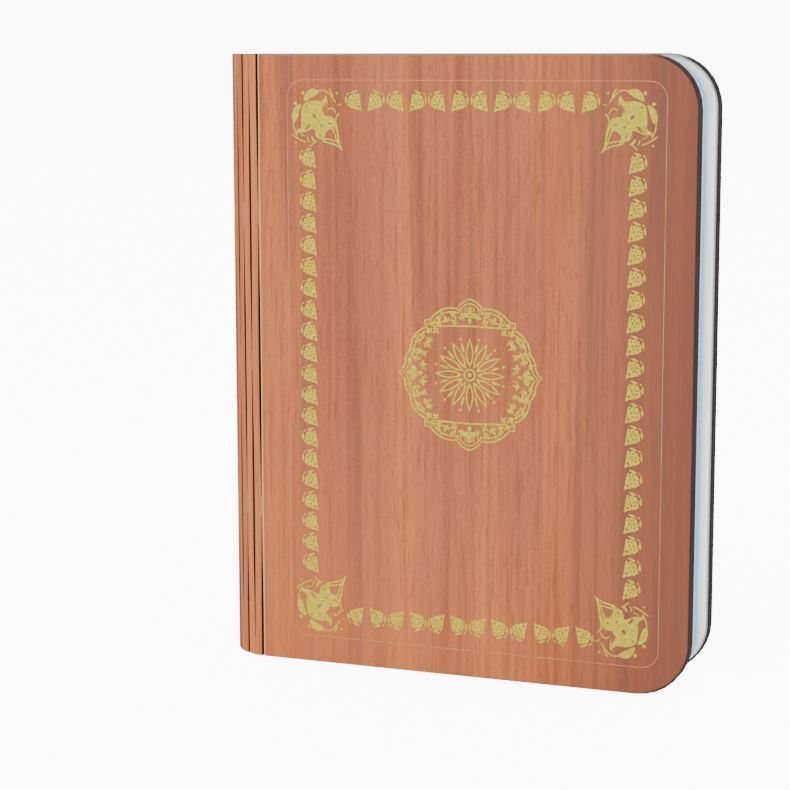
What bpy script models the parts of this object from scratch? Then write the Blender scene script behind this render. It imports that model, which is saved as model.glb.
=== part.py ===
"""A folding book lamp, closed and standing on its lower edges.

Two wooden boards are joined by a round spine that is cut from the same sheet.
Sixteen rows of staggered slits leave fifteen narrow slats between them, and
each slit is a hinge with a vertical axis.  The middle slat carries an upright
light core.  Each other slat carries one paper leaf, bound to its inner face,
with a window round the core, so that the leaves lie side by side when the book
is closed and fan out as it opens.

Metres, +Z up.  The spine is at -X, the fore-edge at +X, the front board at -Y.
The origin is at the middle of the lamp's foot.
"""
import math

import bmesh
import bpy
from mathutils import Matrix, Vector

# Whole lamp
HEIGHT = 0.215
THICKNESS = 0.034
BOARD_WIDTH = 0.156
SHEET_THICKNESS = 0.004
CORNER_RADIUS = 0.0185

# Slit spine: the slits with an odd number have two bridges, the others three
SLIT_COUNT = 16
SLIT_CLEARANCE = 0.00015
BRIDGE_LENGTH = 0.0066
BRIDGE_OFFSET = 0.0521
BEAD_RADIUS = 0.0014
BEAD_CLEARANCE = 0.0002
BEAD_END_GAP = 0.0003

# Paste-downs and magnets of the boards
LINER_THICKNESS = 0.0004
LINER_GAP = 0.0001
LINER_INSET = 0.001
MAGNET_RADIUS = 0.004
MAGNET_THICKNESS = 0.0018
MAGNET_GAP = 0.0002
MAGNET_EDGE_DISTANCE = 0.013
MAGNET_SPREAD = 0.05

# Paper leaves
LEAF_SPACING = 0.0005
LEAF_SIDE_INSET = 0.0003
LEAF_ROOT_THICKNESS = 0.0005
LEAF_ROOT_OVERLAP = 0.0004
LEAF_WALL = 0.0003
LEAF_FORE_INSET = 0.0012
LEAF_END_INSET = 0.0012
LEAF_HOLLOW_START = 0.045
BINDING_DEPTH = 0.001
BINDING_WIDTH = 0.0016
BINDING_GAP = 0.0001
BINDING_OVERLAP = 0.0001
WINDOW_GAP = 0.0004
WINDOW_END_GAP = 0.0008
WHOLE_LEAF_COUNT = 2

# Light core
TUBE_WALL = 0.001
TUBE_SPLIT_ANGLE = math.radians(100)
PART_GAP = 0.0003
CAP_SIDE_GAP = 0.0007
CAP_RIM = 0.0003
CAP_THICKNESS = 0.003
CAP_RECESS = 0.0095
CAP_EDGE = 0.0005
RIB_WIDTH = 0.002
RIB_END_INSET = 0.008
RIB_GAP = 0.0001
BOSS_WALL = 0.0008
BOSS_INSET = 0.0015
BOSS_ANGLE = math.radians(140)
BOSS_LENGTH = 0.008
SOUND_SLOT_COUNT = 6
SOUND_SLOT_HEIGHT = 0.0018
SOUND_SLOT_PITCH = 0.0036
SOUND_SLOT_START_ANGLE = math.radians(112)
SOUND_SLOT_END_ANGLE = math.radians(152)

# Screws
SCREW_RADIUS = 0.0006
SCREW_HEAD_MARGIN = 0.0007
SCREW_HEAD_HEIGHT = 0.0008
SCREW_LENGTH = 0.006
SCREW_CLEARANCE = 0.0002
SCREW_HEAD_SINK = 0.001
SCREW_SLOT_WIDTH = 0.0004
SCREW_SLOT_DEPTH = 0.0004

# Light board
LED_BOARD_SIDE_GAP = 0.0003
LED_BOARD_THICKNESS = 0.0012
LED_BOARD_PLACE = 0.0022
LED_BOARD_LOW_END = 0.013
LED_BOARD_HIGH_END = 0.013
LED_COUNT = 18
LED_SIDE = 0.003
LED_HEIGHT = 0.0009

# Battery
CELL_WALL_GAP = 0.0002
CELL_BOARD_GAP = 0.0008
CELL_END_GAP = 0.00925
CELL_GAP = 0.0005
CELL_POLE_RADIUS = 0.0018
CELL_POLE_HEIGHT = 0.0008
CELL_EDGE = 0.0006

# Control board and charge socket
CONTROL_BOARD_SIDE_GAP = 0.0003
CONTROL_BOARD_LENGTH = 0.04
CONTROL_BOARD_THICKNESS = 0.0012
CONTROL_BOARD_PLACE = 0.002
CONTROL_BOARD_LOW_END = 0.0058
CHIP_SIDE = 0.006
CHIP_HEIGHT = 0.001
SOCKET_WIDTH = 0.009
SOCKET_DEPTH = 0.0032
SOCKET_LENGTH = 0.0073
SOCKET_WALL = 0.0003
SOCKET_FLOOR = 0.001
SOCKET_TONGUE_WIDTH = 0.0067
SOCKET_TONGUE_THICKNESS = 0.0007
SOCKET_TONGUE_SETBACK = 0.001

# Loudspeaker
SPEAKER_WIDTH = 0.01
SPEAKER_DEPTH = 0.0045
SPEAKER_LENGTH = 0.028
SPEAKER_DROP = 0.022
SPEAKER_EDGE = 0.0008
SPEAKER_CONE_RADIUS = 0.0042
SPEAKER_CONE_DEPTH = 0.001

# Switch board, switch, button and remote eye
SWITCH_BOARD_SIDE_GAP = 0.0005
SWITCH_BOARD_THICKNESS = 0.0012
SWITCH_SIDE = 0.0045
SWITCH_HEIGHT = 0.0016
SWITCH_PLUNGER_RADIUS = 0.001
SWITCH_PLUNGER_HEIGHT = 0.0007
BUTTON_RADIUS = 0.0023
BUTTON_CLEARANCE = 0.0003
BUTTON_TRAVEL = 0.0006
BUTTON_PROUD = 0.0008
BUTTON_FLANGE_MARGIN = 0.0006
BUTTON_FLANGE_THICKNESS = 0.001
BUTTON_STEM_LENGTH = 0.0012
BUTTON_CROWN = 0.0003
BUTTON_PLACE = 0.003
EYE_RADIUS = 0.0014
EYE_CLEARANCE = 0.0003
EYE_BODY_SIDE = 0.004
EYE_BODY_HEIGHT = 0.0036
EYE_PLACE = 0.0045

# Facets and cuts
OVERRUN = 0.001
CORNER_STEPS = 8
TUBE_STEPS = 18
BEAD_SIDES = 12
ROUND_SIDES = 24
SMALL_SIDES = 10
MERGE_DISTANCE = 0.00001

# Worked out from the sizes above
SLIT_TURN = math.pi / SLIT_COUNT
AXIS_APOTHEM = (THICKNESS - SHEET_THICKNESS) / 2
AXIS_RADIUS = AXIS_APOTHEM / math.cos(SLIT_TURN / 2)
HALF_PITCH = AXIS_RADIUS * math.sin(SLIT_TURN / 2)
SLIT_WIDTH = SLIT_CLEARANCE + SHEET_THICKNESS * math.tan(SLIT_TURN / 2)
SLAT_WIDTH = 2 * HALF_PITCH - SLIT_WIDTH
MIDDLE_SLAT = SLIT_COUNT // 2
BOARD_START = SLIT_WIDTH / 2 - HALF_PITCH
LAMP_WIDTH = THICKNESS / 2 + BOARD_START + BOARD_WIDTH
SPINE_X = (THICKNESS - LAMP_WIDTH) / 2
FORE_EDGE_X = LAMP_WIDTH / 2
INNER_FACE = THICKNESS / 2 - SHEET_THICKNESS

# One leaf to a slat but for the middle one: they share the space between the paste-downs
LEAF_COUNT = SLIT_COUNT - 2
LINER_FACE = INNER_FACE - LINER_GAP - LINER_THICKNESS
LEAF_PITCH = 2 * (LINER_FACE - LEAF_SIDE_INSET + LEAF_SPACING / 2) / LEAF_COUNT
LEAF_THICKNESS = LEAF_PITCH - LEAF_SPACING
LEAF_TAPER = LEAF_ROOT_THICKNESS / LEAF_THICKNESS
LEAF_ROOT_RADIUS = INNER_FACE - BINDING_DEPTH

# The core stands inside the outermost leaves, which have no window
WHOLE_LEAF_DEPTH = LEAF_ROOT_RADIUS * math.cos(WHOLE_LEAF_COUNT * SLIT_TURN)
CAP_RADIUS = WHOLE_LEAF_DEPTH - LEAF_ROOT_THICKNESS / 2 - CAP_SIDE_GAP
TUBE_RADIUS = CAP_RADIUS - CAP_RIM
TUBE_BORE = TUBE_RADIUS - TUBE_WALL
CAP_OUTER_Z = HEIGHT - CAP_RECESS
CAP_INNER_Z = CAP_OUTER_Z - CAP_THICKNESS
TUBE_TOP_Z = CAP_INNER_Z - PART_GAP
TUBE_LOW_Z = HEIGHT - TUBE_TOP_Z
SCREW_HEAD_RADIUS = SCREW_RADIUS + SCREW_HEAD_MARGIN
BOSS_RADIUS = SCREW_RADIUS + SCREW_CLEARANCE + BOSS_WALL
BOSS_CENTRE_RADIUS = TUBE_BORE - BOSS_INSET

# What lies in the core, from the sizes of its bore
LED_BOARD_FRONT = LED_BOARD_PLACE + LED_BOARD_THICKNESS
LED_BOARD_HALF = math.sqrt(TUBE_BORE ** 2 - LED_BOARD_FRONT ** 2) - LED_BOARD_SIDE_GAP
CELL_RADIUS = (TUBE_BORE - CELL_WALL_GAP + LED_BOARD_PLACE - CELL_BOARD_GAP) / 2
CELL_PLACE = TUBE_BORE - CELL_WALL_GAP - CELL_RADIUS
CONTROL_BOARD_HALF = math.sqrt(TUBE_BORE ** 2 - CONTROL_BOARD_PLACE ** 2) - CONTROL_BOARD_SIDE_GAP
CONTROL_BOARD_LOW_Z = TUBE_LOW_Z + CONTROL_BOARD_LOW_END
SPEAKER_TOP_Z = TUBE_TOP_Z - SPEAKER_DROP
SPEAKER_LOW_Z = SPEAKER_TOP_Z - SPEAKER_LENGTH
SPEAKER_PLACE = math.sqrt(TUBE_BORE ** 2 - (SPEAKER_WIDTH / 2) ** 2) - PART_GAP
CELL_BAY_LOW_Z = CONTROL_BOARD_LOW_Z + CONTROL_BOARD_LENGTH + CELL_END_GAP
CELL_BAY_HIGH_Z = SPEAKER_LOW_Z - CELL_END_GAP
CELL_LENGTH = (CELL_BAY_HIGH_Z - CELL_BAY_LOW_Z - CELL_GAP) / 2 - CELL_POLE_HEIGHT

# The stack under the top cap, from the button down
BUTTON_FLANGE_RADIUS = BUTTON_RADIUS + BUTTON_FLANGE_MARGIN
BUTTON_FLANGE_TOP_Z = CAP_INNER_Z - PART_GAP
BUTTON_FLANGE_LOW_Z = BUTTON_FLANGE_TOP_Z - BUTTON_FLANGE_THICKNESS
BUTTON_FOOT_Z = BUTTON_FLANGE_LOW_Z - BUTTON_STEM_LENGTH
PLUNGER_TOP_Z = BUTTON_FOOT_Z - BUTTON_TRAVEL - PART_GAP
SWITCH_TOP_Z = PLUNGER_TOP_Z - SWITCH_PLUNGER_HEIGHT
SWITCH_LOW_Z = SWITCH_TOP_Z - SWITCH_HEIGHT
SWITCH_BOARD_TOP_Z = SWITCH_LOW_Z - PART_GAP
SWITCH_BOARD_LOW_Z = SWITCH_BOARD_TOP_Z - SWITCH_BOARD_THICKNESS
SWITCH_BOARD_RADIUS = TUBE_BORE - SWITCH_BOARD_SIDE_GAP
SPINE_CENTRE = Vector((SPINE_X, 0, 0))


def start_file():
    """Empty the file and make one collection for the parts and one for the cutters."""
    for old in list(bpy.data.objects):
        bpy.data.objects.remove(old, do_unlink=True)
    made = []
    for name in ("folding_book_lamp", "cutters"):
        collection = bpy.data.collections.new(name)
        bpy.context.scene.collection.children.link(collection)
        made.append(collection)
    return made


PARTS, CUTTERS = start_file()


def material(name, colour, roughness, metallic=0.0):
    """One Principled material for one kind of surface."""
    made = bpy.data.materials.new(name)
    made.use_nodes = True
    made.diffuse_color = (*colour, 1)
    shader = made.node_tree.nodes["Principled BSDF"]
    shader.inputs["Base Color"].default_value = (*colour, 1)
    shader.inputs["Roughness"].default_value = roughness
    shader.inputs["Metallic"].default_value = metallic
    return made


def place(obj, is_cutter=False, colour=None):
    """Put an object in its collection and give it its material."""
    target = CUTTERS if is_cutter else PARTS
    target.objects.link(obj)
    if is_cutter:
        obj.hide_render = True
        obj.display_type = "WIRE"
    if colour:
        obj.data.materials.append(material(obj.name, *colour))
    return obj


def mesh_object(name, shape, is_cutter=False, colour=None):
    """Turn a bmesh into an object of its own."""
    mesh = bpy.data.meshes.new(name)
    shape.to_mesh(mesh)
    shape.free()
    return place(bpy.data.objects.new(name, mesh), is_cutter, colour)


def box(name, low, high, is_cutter=False, colour=None):
    """A box between two corners."""
    size = Vector(high) - Vector(low)
    middle = (Vector(high) + Vector(low)) / 2
    shape = bmesh.new()
    bmesh.ops.create_cube(shape, size=1, matrix=Matrix.Translation(middle) @ Matrix.Diagonal(size).to_4x4())
    return mesh_object(name, shape, is_cutter, colour)


def add_rod(shape, radius, low, high, centre, sides=ROUND_SIDES):
    """Add an upright cylinder to a bmesh."""
    lift = Matrix.Translation((centre[0], centre[1], (low + high) / 2))
    bmesh.ops.create_cone(
        shape, cap_ends=True, segments=sides, radius1=radius, radius2=radius, depth=high - low, matrix=lift
    )


def rods(name, radius, spans, centres, sides=ROUND_SIDES, is_cutter=True, colour=None):
    """Upright cylinders, one for each span of heights at each centre."""
    shape = bmesh.new()
    for centre in centres:
        for low, high in spans:
            add_rod(shape, radius, low, high, centre, sides)
    return mesh_object(name, shape, is_cutter, colour)


def turned(name, profile, centre, sides=ROUND_SIDES, is_cutter=False, colour=None):
    """A turned solid: the profile of (radius, height) runs down its outer side."""
    mesh = bpy.data.meshes.new(name)
    points = [(radius, 0, height) for radius, height in profile]
    mesh.from_pydata(points, [(i, i + 1) for i in range(len(points) - 1)], [])
    obj = place(bpy.data.objects.new(name, mesh), is_cutter, colour)
    obj.location = (centre[0], centre[1], 0)
    screw = obj.modifiers.new("turn", "SCREW")
    screw.steps = sides
    screw.render_steps = sides
    screw.use_merge_vertices = True
    screw.merge_threshold = MERGE_DISTANCE
    screw.use_smooth_shade = False
    return obj


def arc(centre, radius, start, end, steps):
    """Points along an arc, both ends included."""
    points = []
    for i in range(steps + 1):
        angle = start + (end - start) * i / steps
        points.append((centre[0] + radius * math.cos(angle), centre[1] + radius * math.sin(angle)))
    return points


def plate(name, outline, thickness, upright, is_cutter=False, colour=None):
    """A flat outline with a thickness, as a mesh.

    An upright plate has its outline in X and Z and is centred on Y = 0.  Any
    other has its outline in X and Y and stands on Z = 0.
    """
    curve = bpy.data.curves.new(name, "CURVE")
    curve.dimensions = "2D"
    curve.fill_mode = "BOTH"
    curve.extrude = thickness / 2
    spline = curve.splines.new("POLY")
    spline.points.add(len(outline) - 1)
    for point, (across, up) in zip(spline.points, outline):
        point.co = (across, up, 0, 1)
    spline.use_cyclic_u = True
    source = bpy.data.objects.new(name, curve)
    bpy.context.scene.collection.objects.link(source)
    evaluated = source.evaluated_get(bpy.context.evaluated_depsgraph_get())
    flat = bpy.data.meshes.new_from_object(evaluated)
    bpy.data.objects.remove(source, do_unlink=True)
    bpy.data.curves.remove(curve)
    shape = bmesh.new()
    shape.from_mesh(flat)
    bpy.data.meshes.remove(flat)
    bmesh.ops.remove_doubles(shape, verts=shape.verts, dist=MERGE_DISTANCE)
    turn = Matrix.Rotation(math.radians(90), 4, "X") if upright else Matrix.Translation((0, 0, thickness / 2))
    bmesh.ops.transform(shape, matrix=turn, verts=shape.verts)
    bmesh.ops.recalc_face_normals(shape, faces=shape.faces)
    return mesh_object(name, shape, is_cutter, colour)


def combine(obj, tool, operation="DIFFERENCE"):
    """Cut one object with another, or join the other to it."""
    change = obj.modifiers.new(tool.name, "BOOLEAN")
    change.object = tool
    change.operation = operation
    change.solver = "EXACT"
    return obj


def soften(obj, width, segments=1, angle=math.radians(40)):
    """Break the sharp edges of an object."""
    bevel = obj.modifiers.new("edge", "BEVEL")
    bevel.width = width
    bevel.segments = segments
    bevel.limit_method = "ANGLE"
    bevel.angle_limit = angle
    return obj


def attach(obj, parent):
    """Parent an object and leave it where it is."""
    bpy.context.view_layer.update()
    obj.parent = parent
    obj.matrix_parent_inverse = parent.matrix_world.inverted()


# Colours as linear red, green and blue, then roughness and metallic
WOOD = ((0.50, 0.21, 0.09), 0.55)
SLAT_WOOD = ((0.60, 0.28, 0.13), 0.55)
LINER = ((0.55, 0.56, 0.55), 0.8)
PAPER = ((0.72, 0.80, 0.86), 0.75)
MAGNET = ((0.45, 0.45, 0.47), 0.3, 1.0)
DARK_PLASTIC = ((0.03, 0.03, 0.03), 0.45)
DIFFUSER = ((0.85, 0.84, 0.80), 0.4)
CIRCUIT = ((0.02, 0.12, 0.05), 0.5)
WHITE_CIRCUIT = ((0.75, 0.75, 0.72), 0.5)
CELL_WRAP = ((0.05, 0.16, 0.35), 0.4)
STEEL = ((0.55, 0.55, 0.56), 0.3, 1.0)
EYE = ((0.05, 0.01, 0.015), 0.15)


def member_matrix(number):
    """Where member 0 (front board) to SLIT_COUNT (back board) of the sheet lies.

    In a member's own axes the spine's centre is the origin, Y points inwards
    and X points towards the member before it.
    """
    return Matrix.Translation(SPINE_CENTRE) @ Matrix.Rotation(-number * SLIT_TURN, 4, "Z")


def slit_axis(number):
    """World place of the axis of slit 1 (front board) to SLIT_COUNT (back board)."""
    angle = (number - 0.5) * SLIT_TURN
    return Vector((SPINE_X - AXIS_RADIUS * math.sin(angle), -AXIS_RADIUS * math.cos(angle), 0))


def bridge_centres(number):
    """Heights of the middles of a slit's bridges."""
    middle = HEIGHT / 2
    if number % 2:
        return [middle - BRIDGE_OFFSET, middle + BRIDGE_OFFSET]
    end = BRIDGE_LENGTH / 2
    return [end, middle, HEIGHT - end]


def bead_spans(number):
    """Heights where a bead bridges a slit."""
    half = BRIDGE_LENGTH / 2
    return [(centre - half, centre + half) for centre in bridge_centres(number)]


def cove_spans(number):
    """Heights where a cove takes the beads, longer by a gap, and open at the sheet's ends."""
    spans = []
    for low, high in bead_spans(number):
        low_end = low - BEAD_END_GAP if low > BRIDGE_LENGTH else -OVERRUN
        high_end = high + BEAD_END_GAP if high < HEIGHT - BRIDGE_LENGTH else HEIGHT + OVERRUN
        spans.append((low_end, high_end))
    return spans


def slit_empties():
    """One empty on each slit's axis, each carried by the one nearer to the middle slat."""
    empties = {}
    order = list(range(MIDDLE_SLAT, 0, -1)) + list(range(MIDDLE_SLAT + 1, SLIT_COUNT + 1))
    for number in order:
        empty = bpy.data.objects.new(f"slit_axis_{number:02d}", None)
        empty.empty_display_size = SHEET_THICKNESS
        empty.location = slit_axis(number)
        PARTS.objects.link(empty)
        empties[number] = empty
        carrier = number + 1 if number < MIDDLE_SLAT else number - 1
        if number not in (MIDDLE_SLAT, MIDDLE_SLAT + 1):
            attach(empty, empties[carrier])
    return empties


def carrier_empty(number, empties):
    """The empty that a member of the sheet hangs on: none for the middle slat."""
    if number < MIDDLE_SLAT:
        return empties[number + 1]
    if number > MIDDLE_SLAT:
        return empties[number]
    return None


def add_edge_detail(obj, number, side, slit, empty):
    """Give one long edge of a member the beads or the coves of its slit.

    The bead is on the member nearer to the middle slat, and the cove on the other.
    """
    nearer = (slit <= MIDDLE_SLAT) == (side > 0)
    centre = (side * HALF_PITCH, -AXIS_APOTHEM)
    if nearer:
        tool = rods(f"{obj.name}_beads_{slit:02d}", BEAD_RADIUS, bead_spans(slit), [centre], BEAD_SIDES)
        combine(obj, tool, "UNION")
    else:
        radius = BEAD_RADIUS + BEAD_CLEARANCE
        tool = rods(f"{obj.name}_coves_{slit:02d}", radius, cove_spans(slit), [centre], BEAD_SIDES)
        combine(obj, tool)
    tool.matrix_world = member_matrix(number)
    if empty:
        attach(tool, empty)


def make_slat(number, empties):
    """One slat of the spine, between slit number and slit number + 1."""
    low = (-SLAT_WIDTH / 2, -THICKNESS / 2, 0)
    high = (SLAT_WIDTH / 2, -INNER_FACE, HEIGHT)
    slat = box(f"spine_slat_{number:02d}", low, high, colour=SLAT_WOOD)
    slat.matrix_world = member_matrix(number)
    empty = carrier_empty(number, empties)
    if empty:
        attach(slat, empty)
    add_edge_detail(slat, number, 1, number, empty)
    add_edge_detail(slat, number, -1, number + 1, empty)
    return slat


def sheet_outline(start, end, low, high, radius):
    """A rectangle from start to end in X whose two corners at the end are round."""
    sign = math.copysign(1, end - start)
    low_arc = arc((0, low + radius), radius, math.radians(-90), 0, CORNER_STEPS)
    high_arc = arc((0, high - radius), radius, 0, math.radians(90), CORNER_STEPS)
    corner = end - sign * radius
    points = [(start, low)]
    for across, up in low_arc + high_arc:
        points.append((corner + sign * across, up))
    points.append((start, high))
    return points


def board_magnet_centres(sign):
    """Places of a board's magnets in the board's own X and Z."""
    across = sign * (BOARD_START + BOARD_WIDTH - MAGNET_EDGE_DISTANCE)
    return [(across, HEIGHT / 2 - MAGNET_SPREAD), (across, HEIGHT / 2 + MAGNET_SPREAD)]


def discs(name, radius, low, high, centres, is_cutter=False, colour=None):
    """Short cylinders along Y between two depths, centred on places in X and Z."""
    shape = bmesh.new()
    for across, up in centres:
        lay = Matrix.Translation((across, (low + high) / 2, up)) @ Matrix.Rotation(math.radians(90), 4, "X")
        bmesh.ops.create_cone(
            shape, cap_ends=True, segments=ROUND_SIDES, radius1=radius, radius2=radius,
            depth=high - low, matrix=lay
        )
    return mesh_object(name, shape, is_cutter, colour)


def make_board(side_name, number, empties):
    """A board with its paste-down and its two magnets."""
    sign = 1 if number == 0 else -1
    empty = carrier_empty(number, empties)
    home = member_matrix(number)
    outline = sheet_outline(sign * BOARD_START, sign * (BOARD_START + BOARD_WIDTH), 0, HEIGHT, CORNER_RADIUS)
    board = plate(f"{side_name}_board", outline, SHEET_THICKNESS, True, colour=WOOD)
    board.matrix_world = home @ Matrix.Translation((0, -AXIS_APOTHEM, 0))
    slit = 1 if number == 0 else SLIT_COUNT
    add_edge_detail(board, number, -sign, slit, empty)

    centres = board_magnet_centres(sign)
    pocket_floor = -INNER_FACE - MAGNET_THICKNESS - 2 * MAGNET_GAP
    pockets = discs(
        f"{side_name}_magnet_pockets", MAGNET_RADIUS + MAGNET_GAP, pocket_floor, -INNER_FACE + OVERRUN,
        centres, is_cutter=True
    )
    combine(board, pockets)
    magnets = []
    for level, place_on_board in zip(("low", "high"), centres):
        magnet = discs(
            f"{side_name}_magnet_{level}", MAGNET_RADIUS, pocket_floor + MAGNET_GAP, -INNER_FACE - MAGNET_GAP,
            [place_on_board], colour=MAGNET
        )
        magnets.append(magnet)

    inset = LINER_INSET
    liner_outline = sheet_outline(
        sign * (BOARD_START + BEAD_RADIUS + inset), sign * (BOARD_START + BOARD_WIDTH - inset),
        inset, HEIGHT - inset, CORNER_RADIUS - inset
    )
    liner = plate(f"{side_name}_paste_down", liner_outline, LINER_THICKNESS, True, colour=LINER)
    liner_depth = -INNER_FACE + LINER_GAP + LINER_THICKNESS / 2
    liner.matrix_world = home @ Matrix.Translation((0, liner_depth, 0))
    for piece in [pockets] + magnets:
        piece.matrix_world = home
    for piece in [board, pockets, liner] + magnets:
        attach(piece, empty)


def leaf_depth(number):
    """Y of the fore-edge of leaf 1 (next to the front board) to LEAF_COUNT."""
    return (number - (LEAF_COUNT + 1) / 2) * LEAF_PITCH


def leaf_slat(number):
    """The slat that carries a leaf: the middle slat carries none."""
    return number if number < MIDDLE_SLAT else number + 1


def leaf_root(number):
    """World place of a leaf's bound edge, just inside its slat."""
    return member_matrix(leaf_slat(number)) @ Vector((0, -LEAF_ROOT_RADIUS, 0))


def leaf_window(number):
    """Cutter for the opening that the core stands in, or None for a leaf that passes beside it."""
    root = leaf_root(number)
    if min(leaf_slat(number), SLIT_COUNT - leaf_slat(number)) <= WHOLE_LEAF_COUNT:
        return None
    nearest = abs(root.y) - LEAF_ROOT_THICKNESS / 2
    half = math.sqrt((CAP_RADIUS + WINDOW_GAP) ** 2 - nearest ** 2)
    middle = SPINE_X - root.x
    low = HEIGHT - CAP_OUTER_Z - WINDOW_END_GAP
    high = CAP_OUTER_Z + BUTTON_PROUD + WINDOW_END_GAP
    corners = [(middle - half, -LEAF_THICKNESS, low), (middle + half, LEAF_THICKNESS, high)]
    return box(f"page_leaf_{number:02d}_window", corners[0], corners[1], is_cutter=True)


def taper_leaf(leaf, length):
    """Thin a leaf evenly from its fore-edge to its bound edge."""
    for vertex in leaf.data.vertices:
        share = min(max(vertex.co.x / length, 0), 1)
        vertex.co.y *= LEAF_TAPER + (1 - LEAF_TAPER) * share


def make_leaf(number, empties):
    """One leaf: bound along its slat, flat round the core and hollow up to the fold at its fore-edge."""
    name = f"page_leaf_{number:02d}"
    slat = leaf_slat(number)
    root = leaf_root(number)
    reach = Vector((FORE_EDGE_X - LEAF_FORE_INSET, leaf_depth(number), 0)) - root
    length = reach.length
    low = LEAF_END_INSET
    high = HEIGHT - LEAF_END_INSET
    outline = sheet_outline(-LEAF_ROOT_OVERLAP, length, low, high, CORNER_RADIUS - LEAF_END_INSET)
    leaf = plate(name, outline, LEAF_THICKNESS, True, colour=PAPER)
    half_hollow = LEAF_THICKNESS / 2 - LEAF_WALL
    hollow = box(
        f"{name}_hollow", (LEAF_HOLLOW_START, -half_hollow, -OVERRUN),
        (length - LEAF_WALL, half_hollow, HEIGHT + OVERRUN), is_cutter=True
    )
    taper_leaf(leaf, length)
    taper_leaf(hollow, length)
    combine(leaf, hollow)
    pieces = [leaf, hollow]
    window = leaf_window(number)
    if window:
        combine(leaf, window)
        pieces.append(window)
    for piece in pieces:
        piece.matrix_world = Matrix.Translation(root) @ Matrix.Rotation(math.atan2(reach.y, reach.x), 4, "Z")

    binding = box(
        f"{name}_binding", (-BINDING_WIDTH / 2, BINDING_GAP - INNER_FACE, low),
        (BINDING_WIDTH / 2, BINDING_OVERLAP - LEAF_ROOT_RADIUS, high), is_cutter=True
    )
    binding.matrix_world = member_matrix(slat)
    combine(leaf, binding, "UNION")
    for piece in pieces + [binding]:
        attach(piece, carrier_empty(slat, empties))


def shell_outline(start, end):
    """Section of a curved wall of the core between two angles."""
    outer = arc((0, 0), TUBE_RADIUS, start, end, TUBE_STEPS)
    inner = arc((0, 0), TUBE_BORE, end, start, TUBE_STEPS)
    return outer + inner


def core_plate(name, outline, low, high, colour=None, is_cutter=False):
    """An upright extrusion of a section about the core's centre."""
    obj = plate(name, outline, high - low, False, is_cutter, colour)
    obj.location = (SPINE_X, 0, low)
    return obj


def boss_places():
    """The two screw bosses, about the core's centre."""
    across = BOSS_CENTRE_RADIUS * math.cos(BOSS_ANGLE)
    aside = BOSS_CENTRE_RADIUS * math.sin(BOSS_ANGLE)
    return [(across, -aside), (across, aside)]


def core_places(places):
    """The same places in the world's X and Y."""
    return [(SPINE_X + across, aside) for across, aside in places]


def make_back_shell():
    """Rear half of the core, with the rib that is glued to the middle slat."""
    full_turn = 2 * math.pi
    gap_angle = PART_GAP / TUBE_RADIUS
    outline = shell_outline(TUBE_SPLIT_ANGLE + gap_angle, full_turn - TUBE_SPLIT_ANGLE - gap_angle)
    shell = core_plate("core_back_shell", outline, TUBE_LOW_Z, TUBE_TOP_Z, DARK_PLASTIC)

    rib = box(
        "core_rib",
        (SPINE_X - INNER_FACE + RIB_GAP, -RIB_WIDTH / 2, TUBE_LOW_Z + RIB_END_INSET),
        (SPINE_X - TUBE_RADIUS + TUBE_WALL / 2, RIB_WIDTH / 2, TUBE_TOP_Z - RIB_END_INSET),
        is_cutter=True,
    )
    combine(shell, rib, "UNION")

    low_span = (TUBE_LOW_Z, TUBE_LOW_Z + BOSS_LENGTH)
    high_span = (TUBE_TOP_Z - BOSS_LENGTH, TUBE_TOP_Z)
    places = core_places(boss_places())
    bosses = rods("core_bosses", BOSS_RADIUS, [low_span, high_span], places, BEAD_SIDES)
    combine(shell, bosses, "UNION")
    bore_spans = [
        (low_span[0] - OVERRUN, low_span[1] - TUBE_WALL),
        (high_span[0] + TUBE_WALL, high_span[1] + OVERRUN),
    ]
    bores = rods("core_boss_bores", SCREW_RADIUS + SCREW_CLEARANCE, bore_spans, places, SMALL_SIDES)
    combine(shell, bores)

    slots = sound_slots()
    combine(shell, slots)


def sound_slots():
    """Cutter for the rows of slots beside the loudspeaker."""
    middle = (SPEAKER_TOP_Z + SPEAKER_LOW_Z) / 2
    shape = bmesh.new()
    angle = (SOUND_SLOT_START_ANGLE + SOUND_SLOT_END_ANGLE) / 2
    width = TUBE_RADIUS * (SOUND_SLOT_END_ANGLE - SOUND_SLOT_START_ANGLE)
    size = Matrix.Diagonal((4 * TUBE_WALL, width, SOUND_SLOT_HEIGHT, 1))
    for side in (-1, 1):
        for i in range(SOUND_SLOT_COUNT):
            up = middle + (i - (SOUND_SLOT_COUNT - 1) / 2) * SOUND_SLOT_PITCH
            turn = Matrix.Translation(SPINE_CENTRE) @ Matrix.Rotation(side * angle, 4, "Z")
            wall = Matrix.Translation((TUBE_RADIUS - TUBE_WALL / 2, 0, up))
            bmesh.ops.create_cube(shape, size=1, matrix=turn @ wall @ size)
    return mesh_object("sound_slots", shape, is_cutter=True)


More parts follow.
